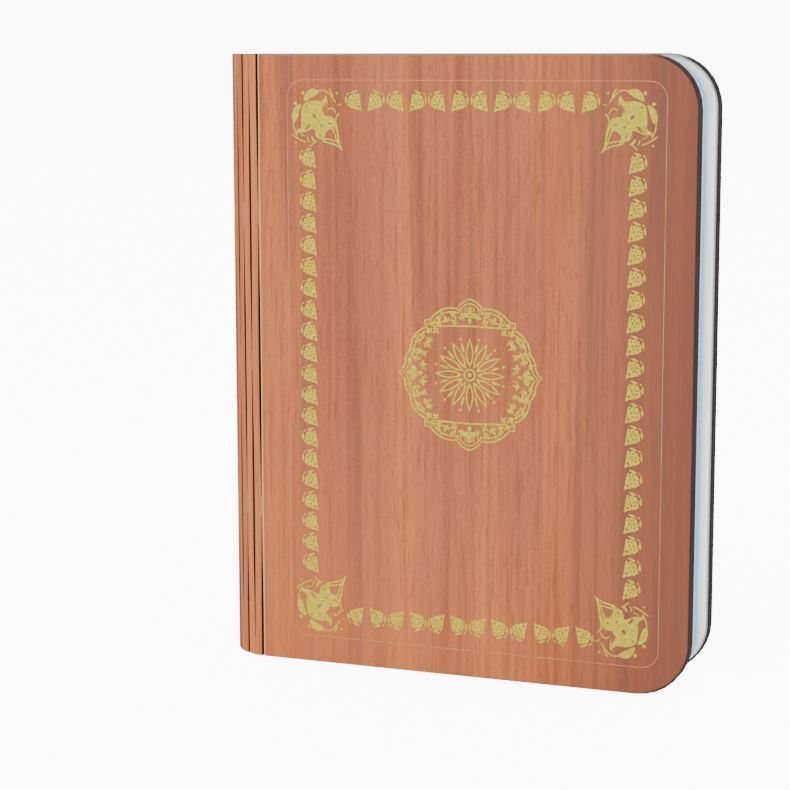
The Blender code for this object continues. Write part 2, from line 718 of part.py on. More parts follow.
def make_cap(name, is_top):
    """An end cap with its screw holes, and the span of a cut right through it."""
    outer = CAP_OUTER_Z if is_top else HEIGHT - CAP_OUTER_Z
    inner = CAP_INNER_Z if is_top else HEIGHT - CAP_INNER_Z
    sign = 1 if is_top else -1
    edge = [(CAP_RADIUS - CAP_EDGE, outer), (CAP_RADIUS, outer - sign * CAP_EDGE), (CAP_RADIUS, inner)]
    profile = [(0, outer)] + edge + [(0, inner)]
    if not is_top:
        profile.reverse()
    cap = turned(name, profile, SPINE_CENTRE, 2 * ROUND_SIDES, colour=DARK_PLASTIC)

    places = core_places(boss_places())
    through = [ordered(inner - sign * OVERRUN, outer + sign * OVERRUN)]
    combine(cap, rods(f"{name}_screw_holes", SCREW_RADIUS + SCREW_CLEARANCE, through, places, SMALL_SIDES))
    sink = [ordered(outer - sign * SCREW_HEAD_SINK, outer + sign * OVERRUN)]
    combine(cap, rods(f"{name}_screw_sinks", SCREW_HEAD_RADIUS + SCREW_CLEARANCE, sink, places, BEAD_SIDES))
    return cap, through


def ordered(first, second):
    """Two heights, the lower one first."""
    return (min(first, second), max(first, second))


def make_caps():
    """Top cap with the button's and the remote eye's holes, bottom cap with the socket's slot."""
    top, through = make_cap("top_cap", True)
    button_place = core_places([(BUTTON_PLACE, 0)])
    combine(top, rods("button_hole", BUTTON_RADIUS + BUTTON_CLEARANCE, through, button_place))
    eye_place = core_places([(-EYE_PLACE, 0)])
    combine(top, rods("eye_hole", EYE_RADIUS + EYE_CLEARANCE, through, eye_place, BEAD_SIDES))

    bottom, through = make_cap("bottom_cap", False)
    slot = stadium(SOCKET_WIDTH + 2 * PART_GAP, SOCKET_DEPTH + 2 * PART_GAP)
    cutter = core_plate("socket_slot", slot, through[0][0], through[0][1], is_cutter=True)
    cutter.location.x = SPINE_X + socket_place()
    combine(bottom, cutter)


def stadium(width, depth):
    """An outline with round ends, wide along Y and centred on the origin."""
    radius = depth / 2
    reach = width / 2 - radius
    high = arc((0, reach), radius, 0, math.pi, CORNER_STEPS)
    low = arc((0, -reach), radius, math.pi, 2 * math.pi, CORNER_STEPS)
    return high + low


def make_screws():
    """Four screws, two in each cap, each with a slotted head."""
    head_face = CAP_OUTER_Z - SCREW_HEAD_SINK + SCREW_HEAD_HEIGHT
    heights = [head_face, head_face - SCREW_HEAD_HEIGHT, head_face - SCREW_LENGTH]
    for cap_name, turn_over in (("top", False), ("bottom", True)):
        for side_name, centre in zip(("front", "back"), core_places(boss_places())):
            make_screw(f"{cap_name}_cap_screw_{side_name}", centre, heights, turn_over)


def make_screw(name, centre, heights, turn_over):
    """One screw: a wide head over a narrow shank, with a slot across the head."""
    face, under_head, tip = heights
    profile = [
        (0, face),
        (SCREW_HEAD_RADIUS, face),
        (SCREW_HEAD_RADIUS, under_head),
        (SCREW_RADIUS, under_head),
        (SCREW_RADIUS, tip),
        (0, tip),
    ]
    screw = turned(name, profile, centre, BEAD_SIDES, colour=STEEL)
    reach = SCREW_HEAD_RADIUS + OVERRUN
    half = SCREW_SLOT_WIDTH / 2
    slot = box(
        f"{name}_slot", (-reach, -half, face - SCREW_SLOT_DEPTH), (reach, half, face + OVERRUN),
        is_cutter=True
    )
    slot.location = (centre[0], centre[1], 0)
    combine(screw, slot)
    if turn_over:
        for piece in (screw, slot):
            piece.rotation_euler.x = math.pi
            piece.location.z = HEIGHT


def make_light_board():
    """The strip that faces the diffuser, with its row of light chips."""
    low = TUBE_LOW_Z + LED_BOARD_LOW_END
    high = TUBE_TOP_Z - LED_BOARD_HIGH_END
    front = SPINE_X + LED_BOARD_FRONT
    board = box(
        "led_board", (SPINE_X + LED_BOARD_PLACE, -LED_BOARD_HALF, low), (front, LED_BOARD_HALF, high),
        colour=WHITE_CIRCUIT
    )
    shape = bmesh.new()
    pitch = (high - low) / LED_COUNT
    depth = LED_HEIGHT + LED_BOARD_THICKNESS / 2
    size = Matrix.Diagonal((depth, LED_SIDE, LED_SIDE, 1))
    for i in range(LED_COUNT):
        middle = (front + LED_HEIGHT - depth / 2, 0, low + (i + 0.5) * pitch)
        bmesh.ops.create_cube(shape, size=1, matrix=Matrix.Translation(middle) @ size)
    combine(board, mesh_object("led_chips", shape, is_cutter=True), "UNION")


def make_cells():
    """Two battery cells in line behind the light board."""
    second = CELL_BAY_LOW_Z + CELL_LENGTH + CELL_POLE_HEIGHT + CELL_GAP
    for name, low in (("battery_cell_low", CELL_BAY_LOW_Z), ("battery_cell_high", second)):
        high = low + CELL_LENGTH
        profile = [
            (0, high + CELL_POLE_HEIGHT),
            (CELL_POLE_RADIUS, high + CELL_POLE_HEIGHT),
            (CELL_POLE_RADIUS, high),
            (CELL_RADIUS - CELL_EDGE, high),
            (CELL_RADIUS, high - CELL_EDGE),
            (CELL_RADIUS, low + CELL_EDGE),
            (CELL_RADIUS - CELL_EDGE, low),
            (0, low),
        ]
        turned(name, profile, (SPINE_X - CELL_PLACE, 0), colour=CELL_WRAP)


def socket_place():
    """X of the charge socket's middle, from the core's centre."""
    return CONTROL_BOARD_THICKNESS + PART_GAP + SOCKET_DEPTH / 2 - CONTROL_BOARD_PLACE


def make_control_board():
    """The board in the core's foot, with its chip, and the charge socket on it."""
    back = SPINE_X - CONTROL_BOARD_PLACE
    high = CONTROL_BOARD_LOW_Z + CONTROL_BOARD_LENGTH
    board = box(
        "control_board", (back, -CONTROL_BOARD_HALF, CONTROL_BOARD_LOW_Z),
        (back + CONTROL_BOARD_THICKNESS, CONTROL_BOARD_HALF, high), colour=CIRCUIT
    )
    chip_low = (CONTROL_BOARD_LOW_Z + high) / 2
    chip = box(
        "control_chip", (back - CHIP_HEIGHT, -CHIP_SIDE / 2, chip_low),
        (back + CONTROL_BOARD_THICKNESS / 2, CHIP_SIDE / 2, chip_low + CHIP_SIDE), is_cutter=True
    )
    combine(board, chip, "UNION")

    mouth = HEIGHT - CAP_OUTER_Z
    socket_outline = stadium(SOCKET_WIDTH, SOCKET_DEPTH)
    socket = core_plate("usb_socket", socket_outline, mouth, mouth + SOCKET_LENGTH, STEEL)
    cavity_outline = stadium(SOCKET_WIDTH - 2 * SOCKET_WALL, SOCKET_DEPTH - 2 * SOCKET_WALL)
    cavity_top = mouth + SOCKET_LENGTH - SOCKET_FLOOR
    cavity = core_plate("socket_cavity", cavity_outline, mouth - OVERRUN, cavity_top, is_cutter=True)
    across = SPINE_X + socket_place()
    for piece in (socket, cavity):
        piece.location.x = across
    combine(socket, cavity)
    tongue = box(
        "socket_tongue",
        (across - SOCKET_TONGUE_THICKNESS / 2, -SOCKET_TONGUE_WIDTH / 2, mouth + SOCKET_TONGUE_SETBACK),
        (across + SOCKET_TONGUE_THICKNESS / 2, SOCKET_TONGUE_WIDTH / 2, cavity_top + SOCKET_FLOOR / 2),
        is_cutter=True,
    )
    combine(socket, tongue, "UNION")


def make_speaker():
    """A flat loudspeaker behind the light board, with a dished cone in its rear face."""
    back = SPINE_X - SPEAKER_PLACE
    half = SPEAKER_WIDTH / 2
    speaker = box(
        "speaker_driver", (back, -half, SPEAKER_LOW_Z), (back + SPEAKER_DEPTH, half, SPEAKER_TOP_Z),
        colour=DARK_PLASTIC
    )
    soften(speaker, SPEAKER_EDGE, 2)
    shape = bmesh.new()
    middle = (SPEAKER_LOW_Z + SPEAKER_TOP_Z) / 2
    turn = Matrix.Translation((back, 0, middle)) @ Matrix.Rotation(math.radians(90), 4, "Y")
    bmesh.ops.create_cone(
        shape, cap_ends=True, segments=ROUND_SIDES, radius1=SPEAKER_CONE_RADIUS,
        radius2=SPEAKER_CONE_RADIUS / 2, depth=2 * SPEAKER_CONE_DEPTH, matrix=turn
    )
    combine(speaker, mesh_object("speaker_cone", shape, is_cutter=True))


def make_switch_group():
    """Switch board, press switch, button and remote eye under the top cap."""
    board_span = (SWITCH_BOARD_LOW_Z, SWITCH_BOARD_TOP_Z)
    board = rods(
        "switch_board", SWITCH_BOARD_RADIUS, [board_span], [(SPINE_X, 0)], is_cutter=False, colour=CIRCUIT
    )
    notch_span = (SWITCH_BOARD_LOW_Z - OVERRUN, SWITCH_BOARD_TOP_Z + OVERRUN)
    notch_places = core_places(boss_places())
    notch_radius = BOSS_RADIUS + PART_GAP
    combine(board, rods("switch_board_notches", notch_radius, [notch_span], notch_places, BEAD_SIDES))

    centre = (SPINE_X + BUTTON_PLACE, 0)
    half = SWITCH_SIDE / 2
    switch = box(
        "press_switch", (centre[0] - half, -half, SWITCH_LOW_Z), (centre[0] + half, half, SWITCH_TOP_Z),
        colour=DARK_PLASTIC
    )
    plunger_span = ((SWITCH_LOW_Z + SWITCH_TOP_Z) / 2, PLUNGER_TOP_Z)
    plunger = rods("switch_plunger", SWITCH_PLUNGER_RADIUS, [plunger_span], [centre], BEAD_SIDES)
    combine(switch, plunger, "UNION")

    button_top = CAP_OUTER_Z + BUTTON_PROUD
    profile = [
        (0, button_top),
        (BUTTON_RADIUS - BUTTON_CROWN, button_top),
        (BUTTON_RADIUS, button_top - BUTTON_CROWN),
        (BUTTON_RADIUS, BUTTON_FLANGE_TOP_Z),
        (BUTTON_FLANGE_RADIUS, BUTTON_FLANGE_TOP_Z),
        (BUTTON_FLANGE_RADIUS, BUTTON_FLANGE_LOW_Z),
        (SWITCH_PLUNGER_RADIUS, BUTTON_FLANGE_LOW_Z),
        (SWITCH_PLUNGER_RADIUS, BUTTON_FOOT_Z),
        (0, BUTTON_FOOT_Z),
    ]
    turned("power_button", profile, centre, colour=DARK_PLASTIC)

    eye_centre = (SPINE_X - EYE_PLACE, 0)
    eye_half = EYE_BODY_SIDE / 2
    body_high = SWITCH_LOW_Z + EYE_BODY_HEIGHT
    eye = box(
        "remote_eye", (eye_centre[0] - eye_half, -eye_half, SWITCH_LOW_Z),
        (eye_centre[0] + eye_half, eye_half, body_high), colour=EYE
    )
    dome_profile = [(0, CAP_OUTER_Z)]
    for i in range(1, CORNER_STEPS + 1):
        angle = math.radians(90) * i / CORNER_STEPS
        dome_profile.append((EYE_RADIUS * math.sin(angle), CAP_OUTER_Z - EYE_RADIUS * (1 - math.cos(angle))))
    dome_profile += [(EYE_RADIUS, body_high - eye_half), (0, body_high - eye_half)]
    dome = turned("remote_eye_dome", dome_profile, eye_centre, BEAD_SIDES, is_cutter=True)
    combine(eye, dome, "UNION")


def make_core():
    """Everything that stays with the middle slat."""
    make_back_shell()
    core_plate(
        "core_diffuser", shell_outline(-TUBE_SPLIT_ANGLE, TUBE_SPLIT_ANGLE), TUBE_LOW_Z, TUBE_TOP_Z, DIFFUSER
    )
    make_caps()
    make_screws()
    make_light_board()
    make_cells()
    make_control_board()
    make_speaker()
    make_switch_group()


def make_lamp():
    """Build the whole lamp."""
    empties = slit_empties()
    make_board("front", 0, empties)
    for number in range(1, SLIT_COUNT):
        make_slat(number, empties)
    make_board("back", SLIT_COUNT, empties)
    for number in range(1, LEAF_COUNT + 1):
        make_leaf(number, empties)
    make_core()


make_lamp()
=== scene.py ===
import math

import bmesh
import bpy
from mathutils import Matrix, Vector


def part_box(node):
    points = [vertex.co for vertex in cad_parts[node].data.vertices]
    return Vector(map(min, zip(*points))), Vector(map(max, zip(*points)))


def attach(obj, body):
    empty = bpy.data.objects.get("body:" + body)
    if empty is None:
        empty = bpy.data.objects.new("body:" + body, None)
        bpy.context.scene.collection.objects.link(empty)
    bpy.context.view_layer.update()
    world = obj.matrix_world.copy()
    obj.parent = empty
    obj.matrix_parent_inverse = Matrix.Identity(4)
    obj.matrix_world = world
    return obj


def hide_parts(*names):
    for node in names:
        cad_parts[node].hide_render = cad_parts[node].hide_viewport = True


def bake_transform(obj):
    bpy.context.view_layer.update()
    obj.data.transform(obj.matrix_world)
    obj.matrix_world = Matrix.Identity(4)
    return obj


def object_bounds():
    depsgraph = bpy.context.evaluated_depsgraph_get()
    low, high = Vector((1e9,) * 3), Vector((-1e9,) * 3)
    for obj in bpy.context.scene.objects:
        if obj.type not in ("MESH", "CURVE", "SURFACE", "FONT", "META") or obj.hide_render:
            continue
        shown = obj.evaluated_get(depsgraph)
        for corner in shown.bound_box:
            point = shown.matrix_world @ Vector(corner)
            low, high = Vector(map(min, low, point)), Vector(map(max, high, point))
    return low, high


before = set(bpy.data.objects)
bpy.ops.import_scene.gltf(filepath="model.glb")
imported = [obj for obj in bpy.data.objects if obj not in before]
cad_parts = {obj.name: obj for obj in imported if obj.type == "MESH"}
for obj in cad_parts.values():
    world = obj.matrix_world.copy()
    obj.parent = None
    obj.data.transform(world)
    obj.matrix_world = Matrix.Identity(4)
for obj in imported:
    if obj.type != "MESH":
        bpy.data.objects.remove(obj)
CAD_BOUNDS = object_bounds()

# Sizes taken from the frame
LOW, HIGH = Vector(CAD_BOUNDS[0]), Vector(CAD_BOUNDS[1])
HEIGHT = HIGH.z - LOW.z
THICKNESS = HIGH.y - LOW.y
FRONT_Y = LOW.y
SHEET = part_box("front_board")[1].y - FRONT_Y
CORNER = 0.0185
SPINE_X = LOW.x + THICKNESS / 2
SLIT_COUNT = 16
MIDDLE_SLAT = SLIT_COUNT // 2
SLIT_TURN = math.pi / SLIT_COUNT
OUTER_RADIUS = THICKNESS / 2
AXIS_APOTHEM = OUTER_RADIUS - SHEET / 2
HALF_PITCH = AXIS_APOTHEM * math.tan(SLIT_TURN / 2)
SLIT_PLAY = 0.00015
SLIT_WIDTH = SLIT_PLAY + SHEET * math.tan(SLIT_TURN / 2)
HALF_SLAT = HALF_PITCH - SLIT_WIDTH / 2
BOARD_ROOT_X = SPINE_X - HALF_SLAT
# The painted highlight, a tan line along the sheet's top, starts and is full at these heights
TOP_HIGHLIGHT_START = HEIGHT - 0.00075
TOP_HIGHLIGHT_FULL = HEIGHT - 0.00045

# Linear colours
WOOD = (0.66, 0.176, 0.053)
WOOD_LIGHT = (0.84, 0.248, 0.077)
WOOD_DARK = (0.33, 0.078, 0.032)
WOOD_PURPLE = (0.27, 0.095, 0.075)
WOOD_PAINTED_SHADE = (0.27, 0.085, 0.052)
WOOD_GREY = (0.19, 0.088, 0.070)
SLAT_LIGHT = (0.80, 0.268, 0.080)
SLAT = (0.66, 0.188, 0.056)
SLAT_DARK = (0.50, 0.135, 0.045)
SLAT_PURPLE = (0.54, 0.19, 0.10)
ROOT_EDGE_HIGHLIGHT = (0.95, 0.55, 0.26)
CHAR = (0.012, 0.008, 0.008)
CHAR_WORN = (0.026, 0.016, 0.014)
CHAR_LIGHT = (0.11, 0.036, 0.010)
TOP_EDGE_HIGHLIGHT = (0.36, 0.27, 0.15)
LINING = (0.80, 0.85, 0.84)
GOLD = (0.82, 0.65, 0.03)
GOLD_LIGHT = (0.93, 0.78, 0.06)
GOLD_DARK = (0.40, 0.24, 0.03)
LINE_GOLD = (0.80, 0.44, 0.15)
# tints of the paper leaves from the front board to the back: blue painted shade, then whiter painted light
PAPER_LIGHT_AND_SHADE_TINTS = (
    (0.50, 0.70, 0.92), (0.52, 0.72, 0.93), (0.50, 0.70, 0.92), (0.44, 0.66, 0.90), (0.33, 0.56, 0.83),
    (0.30, 0.52, 0.78), (0.44, 0.66, 0.86), (0.58, 0.76, 0.90), (0.66, 0.82, 0.88), (0.72, 0.85, 0.86),
    (0.80, 0.89, 0.87), (0.86, 0.92, 0.89), (0.88, 0.92, 0.90), (0.88, 0.92, 0.90),
)
SHADER_SOCKETS = {
    "colour": "Base Color", "normal": "Normal", "rough": "Roughness", "metal": "Metallic",
    "specular": "Specular IOR Level", "sub": "Subsurface Weight", "sub_scale": "Subsurface Scale",
    "glow": "Emission Color", "glow_power": "Emission Strength",
}


class Nodes:
    """A short way to build one material's node tree."""

    def __init__(self, name):
        self.material = bpy.data.materials.new(name)
        self.material.use_nodes = True
        self.tree = self.material.node_tree
        self.shader = self.tree.nodes["Principled BSDF"]

    def add(self, kind):
        return self.tree.nodes.new(kind)

    def put(self, node, key, value):
        socket = node.inputs[key]
        if isinstance(value, bpy.types.NodeSocket):
            self.tree.links.new(value, socket)
        else:
            socket.default_value = value

    def coordinates(self, output="Object"):
        return self.add("ShaderNodeTexCoord").outputs[output]

    def scaled(self, vector, scale, shift=(0, 0, 0)):
        node = self.add("ShaderNodeMapping")
        self.put(node, "Vector", vector)
        self.put(node, "Scale", scale)
        self.put(node, "Location", shift)
        return node.outputs[0]

    def noise(self, vector, scale=1.0, detail=2.0, roughness=0.5, distortion=0.0):
        node = self.add("ShaderNodeTexNoise")
        for key, value in (("Vector", vector), ("Scale", scale), ("Detail", detail),
                           ("Roughness", roughness), ("Distortion", distortion)):
            self.put(node, key, value)
        return node.outputs["Fac"]

    def cells(self, vector, scale, output="Distance", feature="F1"):
        node = self.add("ShaderNodeTexVoronoi")
        node.feature = feature
        self.put(node, "Vector", vector)
        self.put(node, "Scale", scale)
        return node.outputs[output]

    def math(self, operation, a, b=0.0, c=0.0, clamp=False):
        node = self.add("ShaderNodeMath")
        node.operation = operation
        node.use_clamp = clamp
        for index, value in enumerate((a, b, c)):
            self.put(node, index, value)
        return node.outputs[0]

    def length(self, a, b):
        """The length of a vector with two components."""
        return self.math("SQRT", self.plus(self.times(a, a), self.times(b, b)))

    def band(self, value, low, high, to_low=0.0, to_high=1.0):
        node = self.add("ShaderNodeMapRange")
        node.interpolation_type = "SMOOTHSTEP"
        for index, number in enumerate((value, low, high, to_low, to_high)):
            self.put(node, index, number)
        return node.outputs[0]

    def mix(self, share, a, b):
        node = self.add("ShaderNodeMix")
        node.data_type = "RGBA"
        for index, value in ((0, share), (6, a), (7, b)):
            if isinstance(value, tuple) and len(value) == 3:
                value = (*value, 1)
            self.put(node, index, value)
        return node.outputs[2]

    def times(self, a, b):
        return self.math("MULTIPLY", a, b)

    def plus(self, a, b):
        return self.math("ADD", a, b)

    def split(self, vector):
        node = self.add("ShaderNodeSeparateXYZ")
        self.put(node, 0, vector)
        return node.outputs

    def bump(self, height, strength, distance):
        node = self.add("ShaderNodeBump")
        self.put(node, "Height", height)
        self.put(node, "Strength", strength)
        self.put(node, "Distance", distance)
        return node.outputs[0]

    def set(self, **values):
        for key, value in values.items():
            if isinstance(value, tuple):
                value = (*value, 1)
            self.put(self.shader, SHADER_SOCKETS[key], value)
        return self.material


def grain(n, place, light, mid, dark, purple):
    """Upright wood grain: broad tints, streaks along Z, fine fibres, short pores and specks."""
    broad = n.noise(n.scaled(place, (16, 16, 1.6)), 1, 2, 0.5, 0.4)
    streak = n.noise(n.scaled(place, (120, 120, 2.6), (0.3, 0, 0.1)), 1, 3, 0.6, 0.3)
    fibre = n.noise(n.scaled(place, (620, 620, 9)), 1, 2, 0.6)
    pore = n.noise(n.scaled(place, (1500, 1500, 55), (0.2, 0, 0.7)), 1, 1, 0.5)
    colour = n.mix(n.band(broad, 0.36, 0.62), mid, light)
    colour = n.mix(n.times(n.band(streak, 0.50, 0.72), 0.62), colour, dark)
    colour = n.mix(n.times(n.band(streak, 0.44, 0.30), 0.45), colour, light)
    vein = n.noise(n.scaled(place, (70, 70, 2.0), (4.1, 0, 1.3)), 1, 2, 0.55, 0.6)
    colour = n.mix(n.times(n.band(vein, 0.585, 0.68), 0.55), colour, purple)
    brown = n.noise(n.scaled(place, (34, 34, 1.2), (2.6, 0, 0.4)), 1, 2, 0.5, 0.5)
    colour = n.mix(n.times(n.band(brown, 0.52, 0.66), 0.34), colour, purple)
    fleck = n.noise(n.scaled(place, (1100, 1100, 150), (1.7, 0, 2.2)), 1, 2, 0.6)
    speck = n.noise(n.scaled(place, (2400, 2400, 850), (0.9, 0, 0.2)), 1, 1, 0.5)
    colour = n.mix(n.times(n.band(speck, 0.54, 0.74), 0.30), colour, dark)
    colour = n.mix(n.times(n.band(speck, 0.46, 0.26), 0.30), colour, light)
    colour = n.mix(n.times(n.band(fibre, 0.48, 0.70), 0.34), colour, dark)
    colour = n.mix(n.times(n.band(fibre, 0.42, 0.28), 0.30), colour, light)
    colour = n.mix(n.times(n.band(pore, 0.56, 0.68), 0.36), colour, dark)
    colour = n.mix(n.times(n.band(fleck, 0.58, 0.70), 0.42), colour, dark)
    height = n.plus(n.times(fibre, 0.6), n.times(pore, 0.4))
    return colour, height


def board_material(name, inner_sign, x_shift):
    """Veneered board: grain outside, lining paper inside, charred edges, painted highlights in tan along the
    top and in a light line along the spine edge, painted shade towards the fore-edge.
    """
    n = Nodes(name)
    place = n.coordinates()
    x, y, z = n.split(place)
    moved = n.scaled(place, (1, 1, 1), (x_shift, 0, x_shift))
    colour, height = grain(n, moved, WOOD_LIGHT, WOOD, WOOD_DARK, WOOD_PURPLE)
    # painted shade darkens the fore-edge side of the board; grey streaks also grow stronger towards it, so
    # that side is darker and greyer than the spine side
    shade = n.band(x, 0.022, 0.082)
    colour = n.mix(n.times(shade, 0.88), colour, WOOD_PAINTED_SHADE)
    greyed = n.noise(n.scaled(moved, (230, 230, 3.6), (6.0, 0, 2.0)), 1, 3, 0.6, 0.3)
    greyed = n.times(n.band(greyed, 0.45, 0.70), n.band(x, 0.0, 0.055, 0.05, 0.52))
    colour = n.mix(greyed, colour, WOOD_GREY)
    # the lower spine side is a little lighter
    lower = n.times(n.band(z, 0.11, 0.0), n.band(x, 0.03, -0.05))
    colour = n.mix(n.times(lower, 0.35), colour, WOOD_LIGHT)
    normal = n.split(n.coordinates("Normal"))
    on_edge = n.band(n.math("ABSOLUTE", normal[1]), 0.8, 0.5)
    # painted highlight: level cut faces take a tan colour as if lit from above, the other cut faces take the
    # char
    tan = n.band(n.math("ABSOLUTE", normal[2]), 0.9, 0.99)
    # how far inside the cut outline a point lies, round the two fore-edge corners
    beyond_x = n.plus(x, CORNER - HIGH.x)
    from_middle = n.math("ABSOLUTE", n.plus(z, -HEIGHT / 2))
    beyond_z = n.plus(from_middle, CORNER - HEIGHT / 2)
    round_x = n.math("MAXIMUM", beyond_x, 0.0)
    round_z = n.math("MAXIMUM", beyond_z, 0.0)
    outside = n.length(round_x, round_z)
    inside = n.math("MINIMUM", n.math("MAXIMUM", beyond_x, beyond_z), 0.0)
    depth = n.plus(n.plus(outside, inside), -CORNER)
    near_fore = n.band(x, HIGH.x - CORNER * 1.1, HIGH.x - CORNER * 0.5)
    ash = n.noise(n.scaled(place, (900, 900, 60)), 1, 2, 0.6)
    burnt = n.mix(n.band(ash, 0.35, 0.7), CHAR, CHAR_WORN)
    # lining paper on the inner face; a dark rim runs along the cut outline near the fore-edge, a little
    # stronger on the inner face
    inner = n.band(n.times(normal[1], inner_sign), 0.5, 0.8)
    colour = n.mix(inner, colour, LINING)
    rim = n.times(n.band(depth, -0.0011, -0.0005), near_fore)
    rim = n.times(rim, n.plus(0.88, n.times(inner, 0.12)))
    colour = n.mix(rim, colour, burnt)
    # painted highlight: the face is painted tan along the top, as if the lit top edge showed there
    top_highlight = n.times(n.band(z, TOP_HIGHLIGHT_START, TOP_HIGHLIGHT_FULL), n.math("SUBTRACT", 1.0, near_fore))
    colour = n.mix(top_highlight, colour, TOP_EDGE_HIGHLIGHT)
    layers = n.band(n.math("SINE", n.times(y, 4200)), -0.2, 0.6)
    # the tan painted highlight of the level cut faces, with ash and the sheet's layers
    tanned = n.mix(n.band(ash, 0.3, 0.65), TOP_EDGE_HIGHLIGHT, (0.20, 0.14, 0.09))
    tanned = n.mix(n.times(layers, 0.35), tanned, (0.13, 0.085, 0.06))
    edge = n.mix(tan, burnt, tanned)
    colour = n.mix(on_edge, colour, edge)
    # painted highlight: a light line along the board's spine edge on its faces
    root = n.band(x, BOARD_ROOT_X + 0.0006, BOARD_ROOT_X + 0.00025)
    root = n.times(root, n.math("SUBTRACT", 1.0, on_edge))
    colour = n.mix(root, colour, ROOT_EDGE_HIGHLIGHT)
    rough = n.plus(n.times(on_edge, 0.3), 0.52)
    return n.set(colour=colour, rough=rough, specular=0.32,
                 normal=n.bump(height, 0.22, 0.00012))


def radial_share(n, place):
    """How far out from the spine's middle a point lies, and how squarely its face looks outward there."""
    x, y, z = n.split(place)
    across = n.plus(x, -SPINE_X)
    radius = n.length(across, y)
    face_x, face_y, face_z = n.split(n.coordinates("Normal"))
    outward = n.plus(n.times(face_x, across), n.times(face_y, y))
    return radius, n.math("ABSOLUTE", n.math("DIVIDE", outward, radius)), face_z, z


def slat_material(name, shift):
    """Narrow slat of the same sheet, lighter, its slit walls burnt by the cut."""
    n = Nodes(name)
    place = n.coordinates()
    moved = n.scaled(place, (1, 1, 1), (shift, 0, shift))
    colour, height = grain(n, moved, SLAT_LIGHT, SLAT, SLAT_DARK, SLAT_PURPLE)
    radius, outward, face_z, z = radial_share(n, place)
    on_wall = n.band(outward, 0.9, 0.6)
    on_end = n.band(n.math("ABSOLUTE", face_z), 0.7, 0.9)
    ash = n.noise(n.scaled(place, (700, 700, 70)), 1, 2, 0.6)
    burnt = n.mix(n.band(ash, 0.35, 0.7), CHAR_LIGHT, (0.08, 0.028, 0.010))
    # the cut is paler near the outer face than deep in the slit
    burnt = n.mix(n.band(radius, OUTER_RADIUS - 0.0007, OUTER_RADIUS - 0.00005), burnt, (0.26, 0.085, 0.025))
    # painted highlight: the top and bottom faces are painted tan with ash, and the face along the top is
    # painted tan too
    end = n.mix(n.band(ash, 0.3, 0.7), TOP_EDGE_HIGHLIGHT, (0.16, 0.10, 0.065))
    colour = n.mix(n.band(z, TOP_HIGHLIGHT_START, TOP_HIGHLIGHT_FULL), colour, TOP_EDGE_HIGHLIGHT)
    colour = n.mix(on_wall, colour, burnt)
    colour = n.mix(on_end, colour, end)
    return n.set(colour=colour, rough=0.55, specular=0.3, normal=n.bump(height, 0.2, 0.0001))


def bridge_material(name):
    """The wood left between two slits' ends, a little scorched at its tips."""
    n = Nodes(name)
    place = n.coordinates()
    moved = n.scaled(place, (1, 1, 1), (0.5, 0, 0.5))
    colour, height = grain(n, moved, SLAT_LIGHT, SLAT, SLAT_DARK, SLAT_PURPLE)
    soot = n.noise(n.scaled(place, (500, 500, 120)), 1, 3, 0.6)
    colour = n.mix(n.times(n.band(soot, 0.52, 0.75), 0.5), colour, (0.34, 0.10, 0.035))
    radius, outward, face_z, z = radial_share(n, place)
    colour = n.mix(n.band(outward, 0.85, 0.6), colour, CHAR_LIGHT)
    # painted highlight: a tan strip along the top
    colour = n.mix(n.band(z, TOP_HIGHLIGHT_START, TOP_HIGHLIGHT_FULL), colour, TOP_EDGE_HIGHLIGHT)
    return n.set(colour=colour, rough=0.58, specular=0.3, normal=n.bump(height, 0.2, 0.0001))


def paper_material(name, tint, glow):
    """Translucent matt paper: faint fibres and clouds; at the folds a blue painted shade towards the front
    board, whiter painted light towards the back board and a painted glow.
    """
    n = Nodes(name)
    place = n.coordinates()
    fibres = n.noise(n.scaled(place, (900, 900, 420)), 1, 3, 0.65)
    clouds = n.noise(n.scaled(place, (60, 60, 26)), 1, 2, 0.5)
    streak = n.noise(n.scaled(place, (900, 900, 3)), 1, 2, 0.5)
    x = n.split(place)[0]
    pale = tuple(min(c * 1.07, 0.94) for c in tint)
    milky = tuple(c * 0.5 + 0.44 for c in tint)
    # only the folds at the fore-edge take the tint's painted shade and light, and the painted glow is
    # strongest there
    painted_light_start, painted_light_full = HIGH.x - 0.020, HIGH.x - 0.004
    fold = n.band(x, painted_light_start, painted_light_full)
    colour = n.mix(n.band(fibres, 0.35, 0.65), tint, pale)
    colour = n.mix(n.times(n.band(clouds, 0.4, 0.65), 0.3), colour, milky)
    colour = n.mix(n.times(n.band(streak, 0.5, 0.7), 0.18), colour, tuple(c * 0.72 for c in tint))
    sheet = n.mix(n.band(fibres, 0.35, 0.65), (0.76, 0.80, 0.80), (0.84, 0.87, 0.86))
    sheet = n.mix(n.times(n.band(clouds, 0.4, 0.65), 0.35), sheet, (0.70, 0.76, 0.79))
    colour = n.mix(fold, sheet, colour)
    glow = n.band(x, painted_light_start, painted_light_full, 0.08, glow)
    return n.set(colour=colour, rough=0.72, specular=0.25, sub=0.35, sub_scale=0.004, glow=colour,
                 glow_power=glow, normal=n.bump(fibres, 0.15, 0.00004))


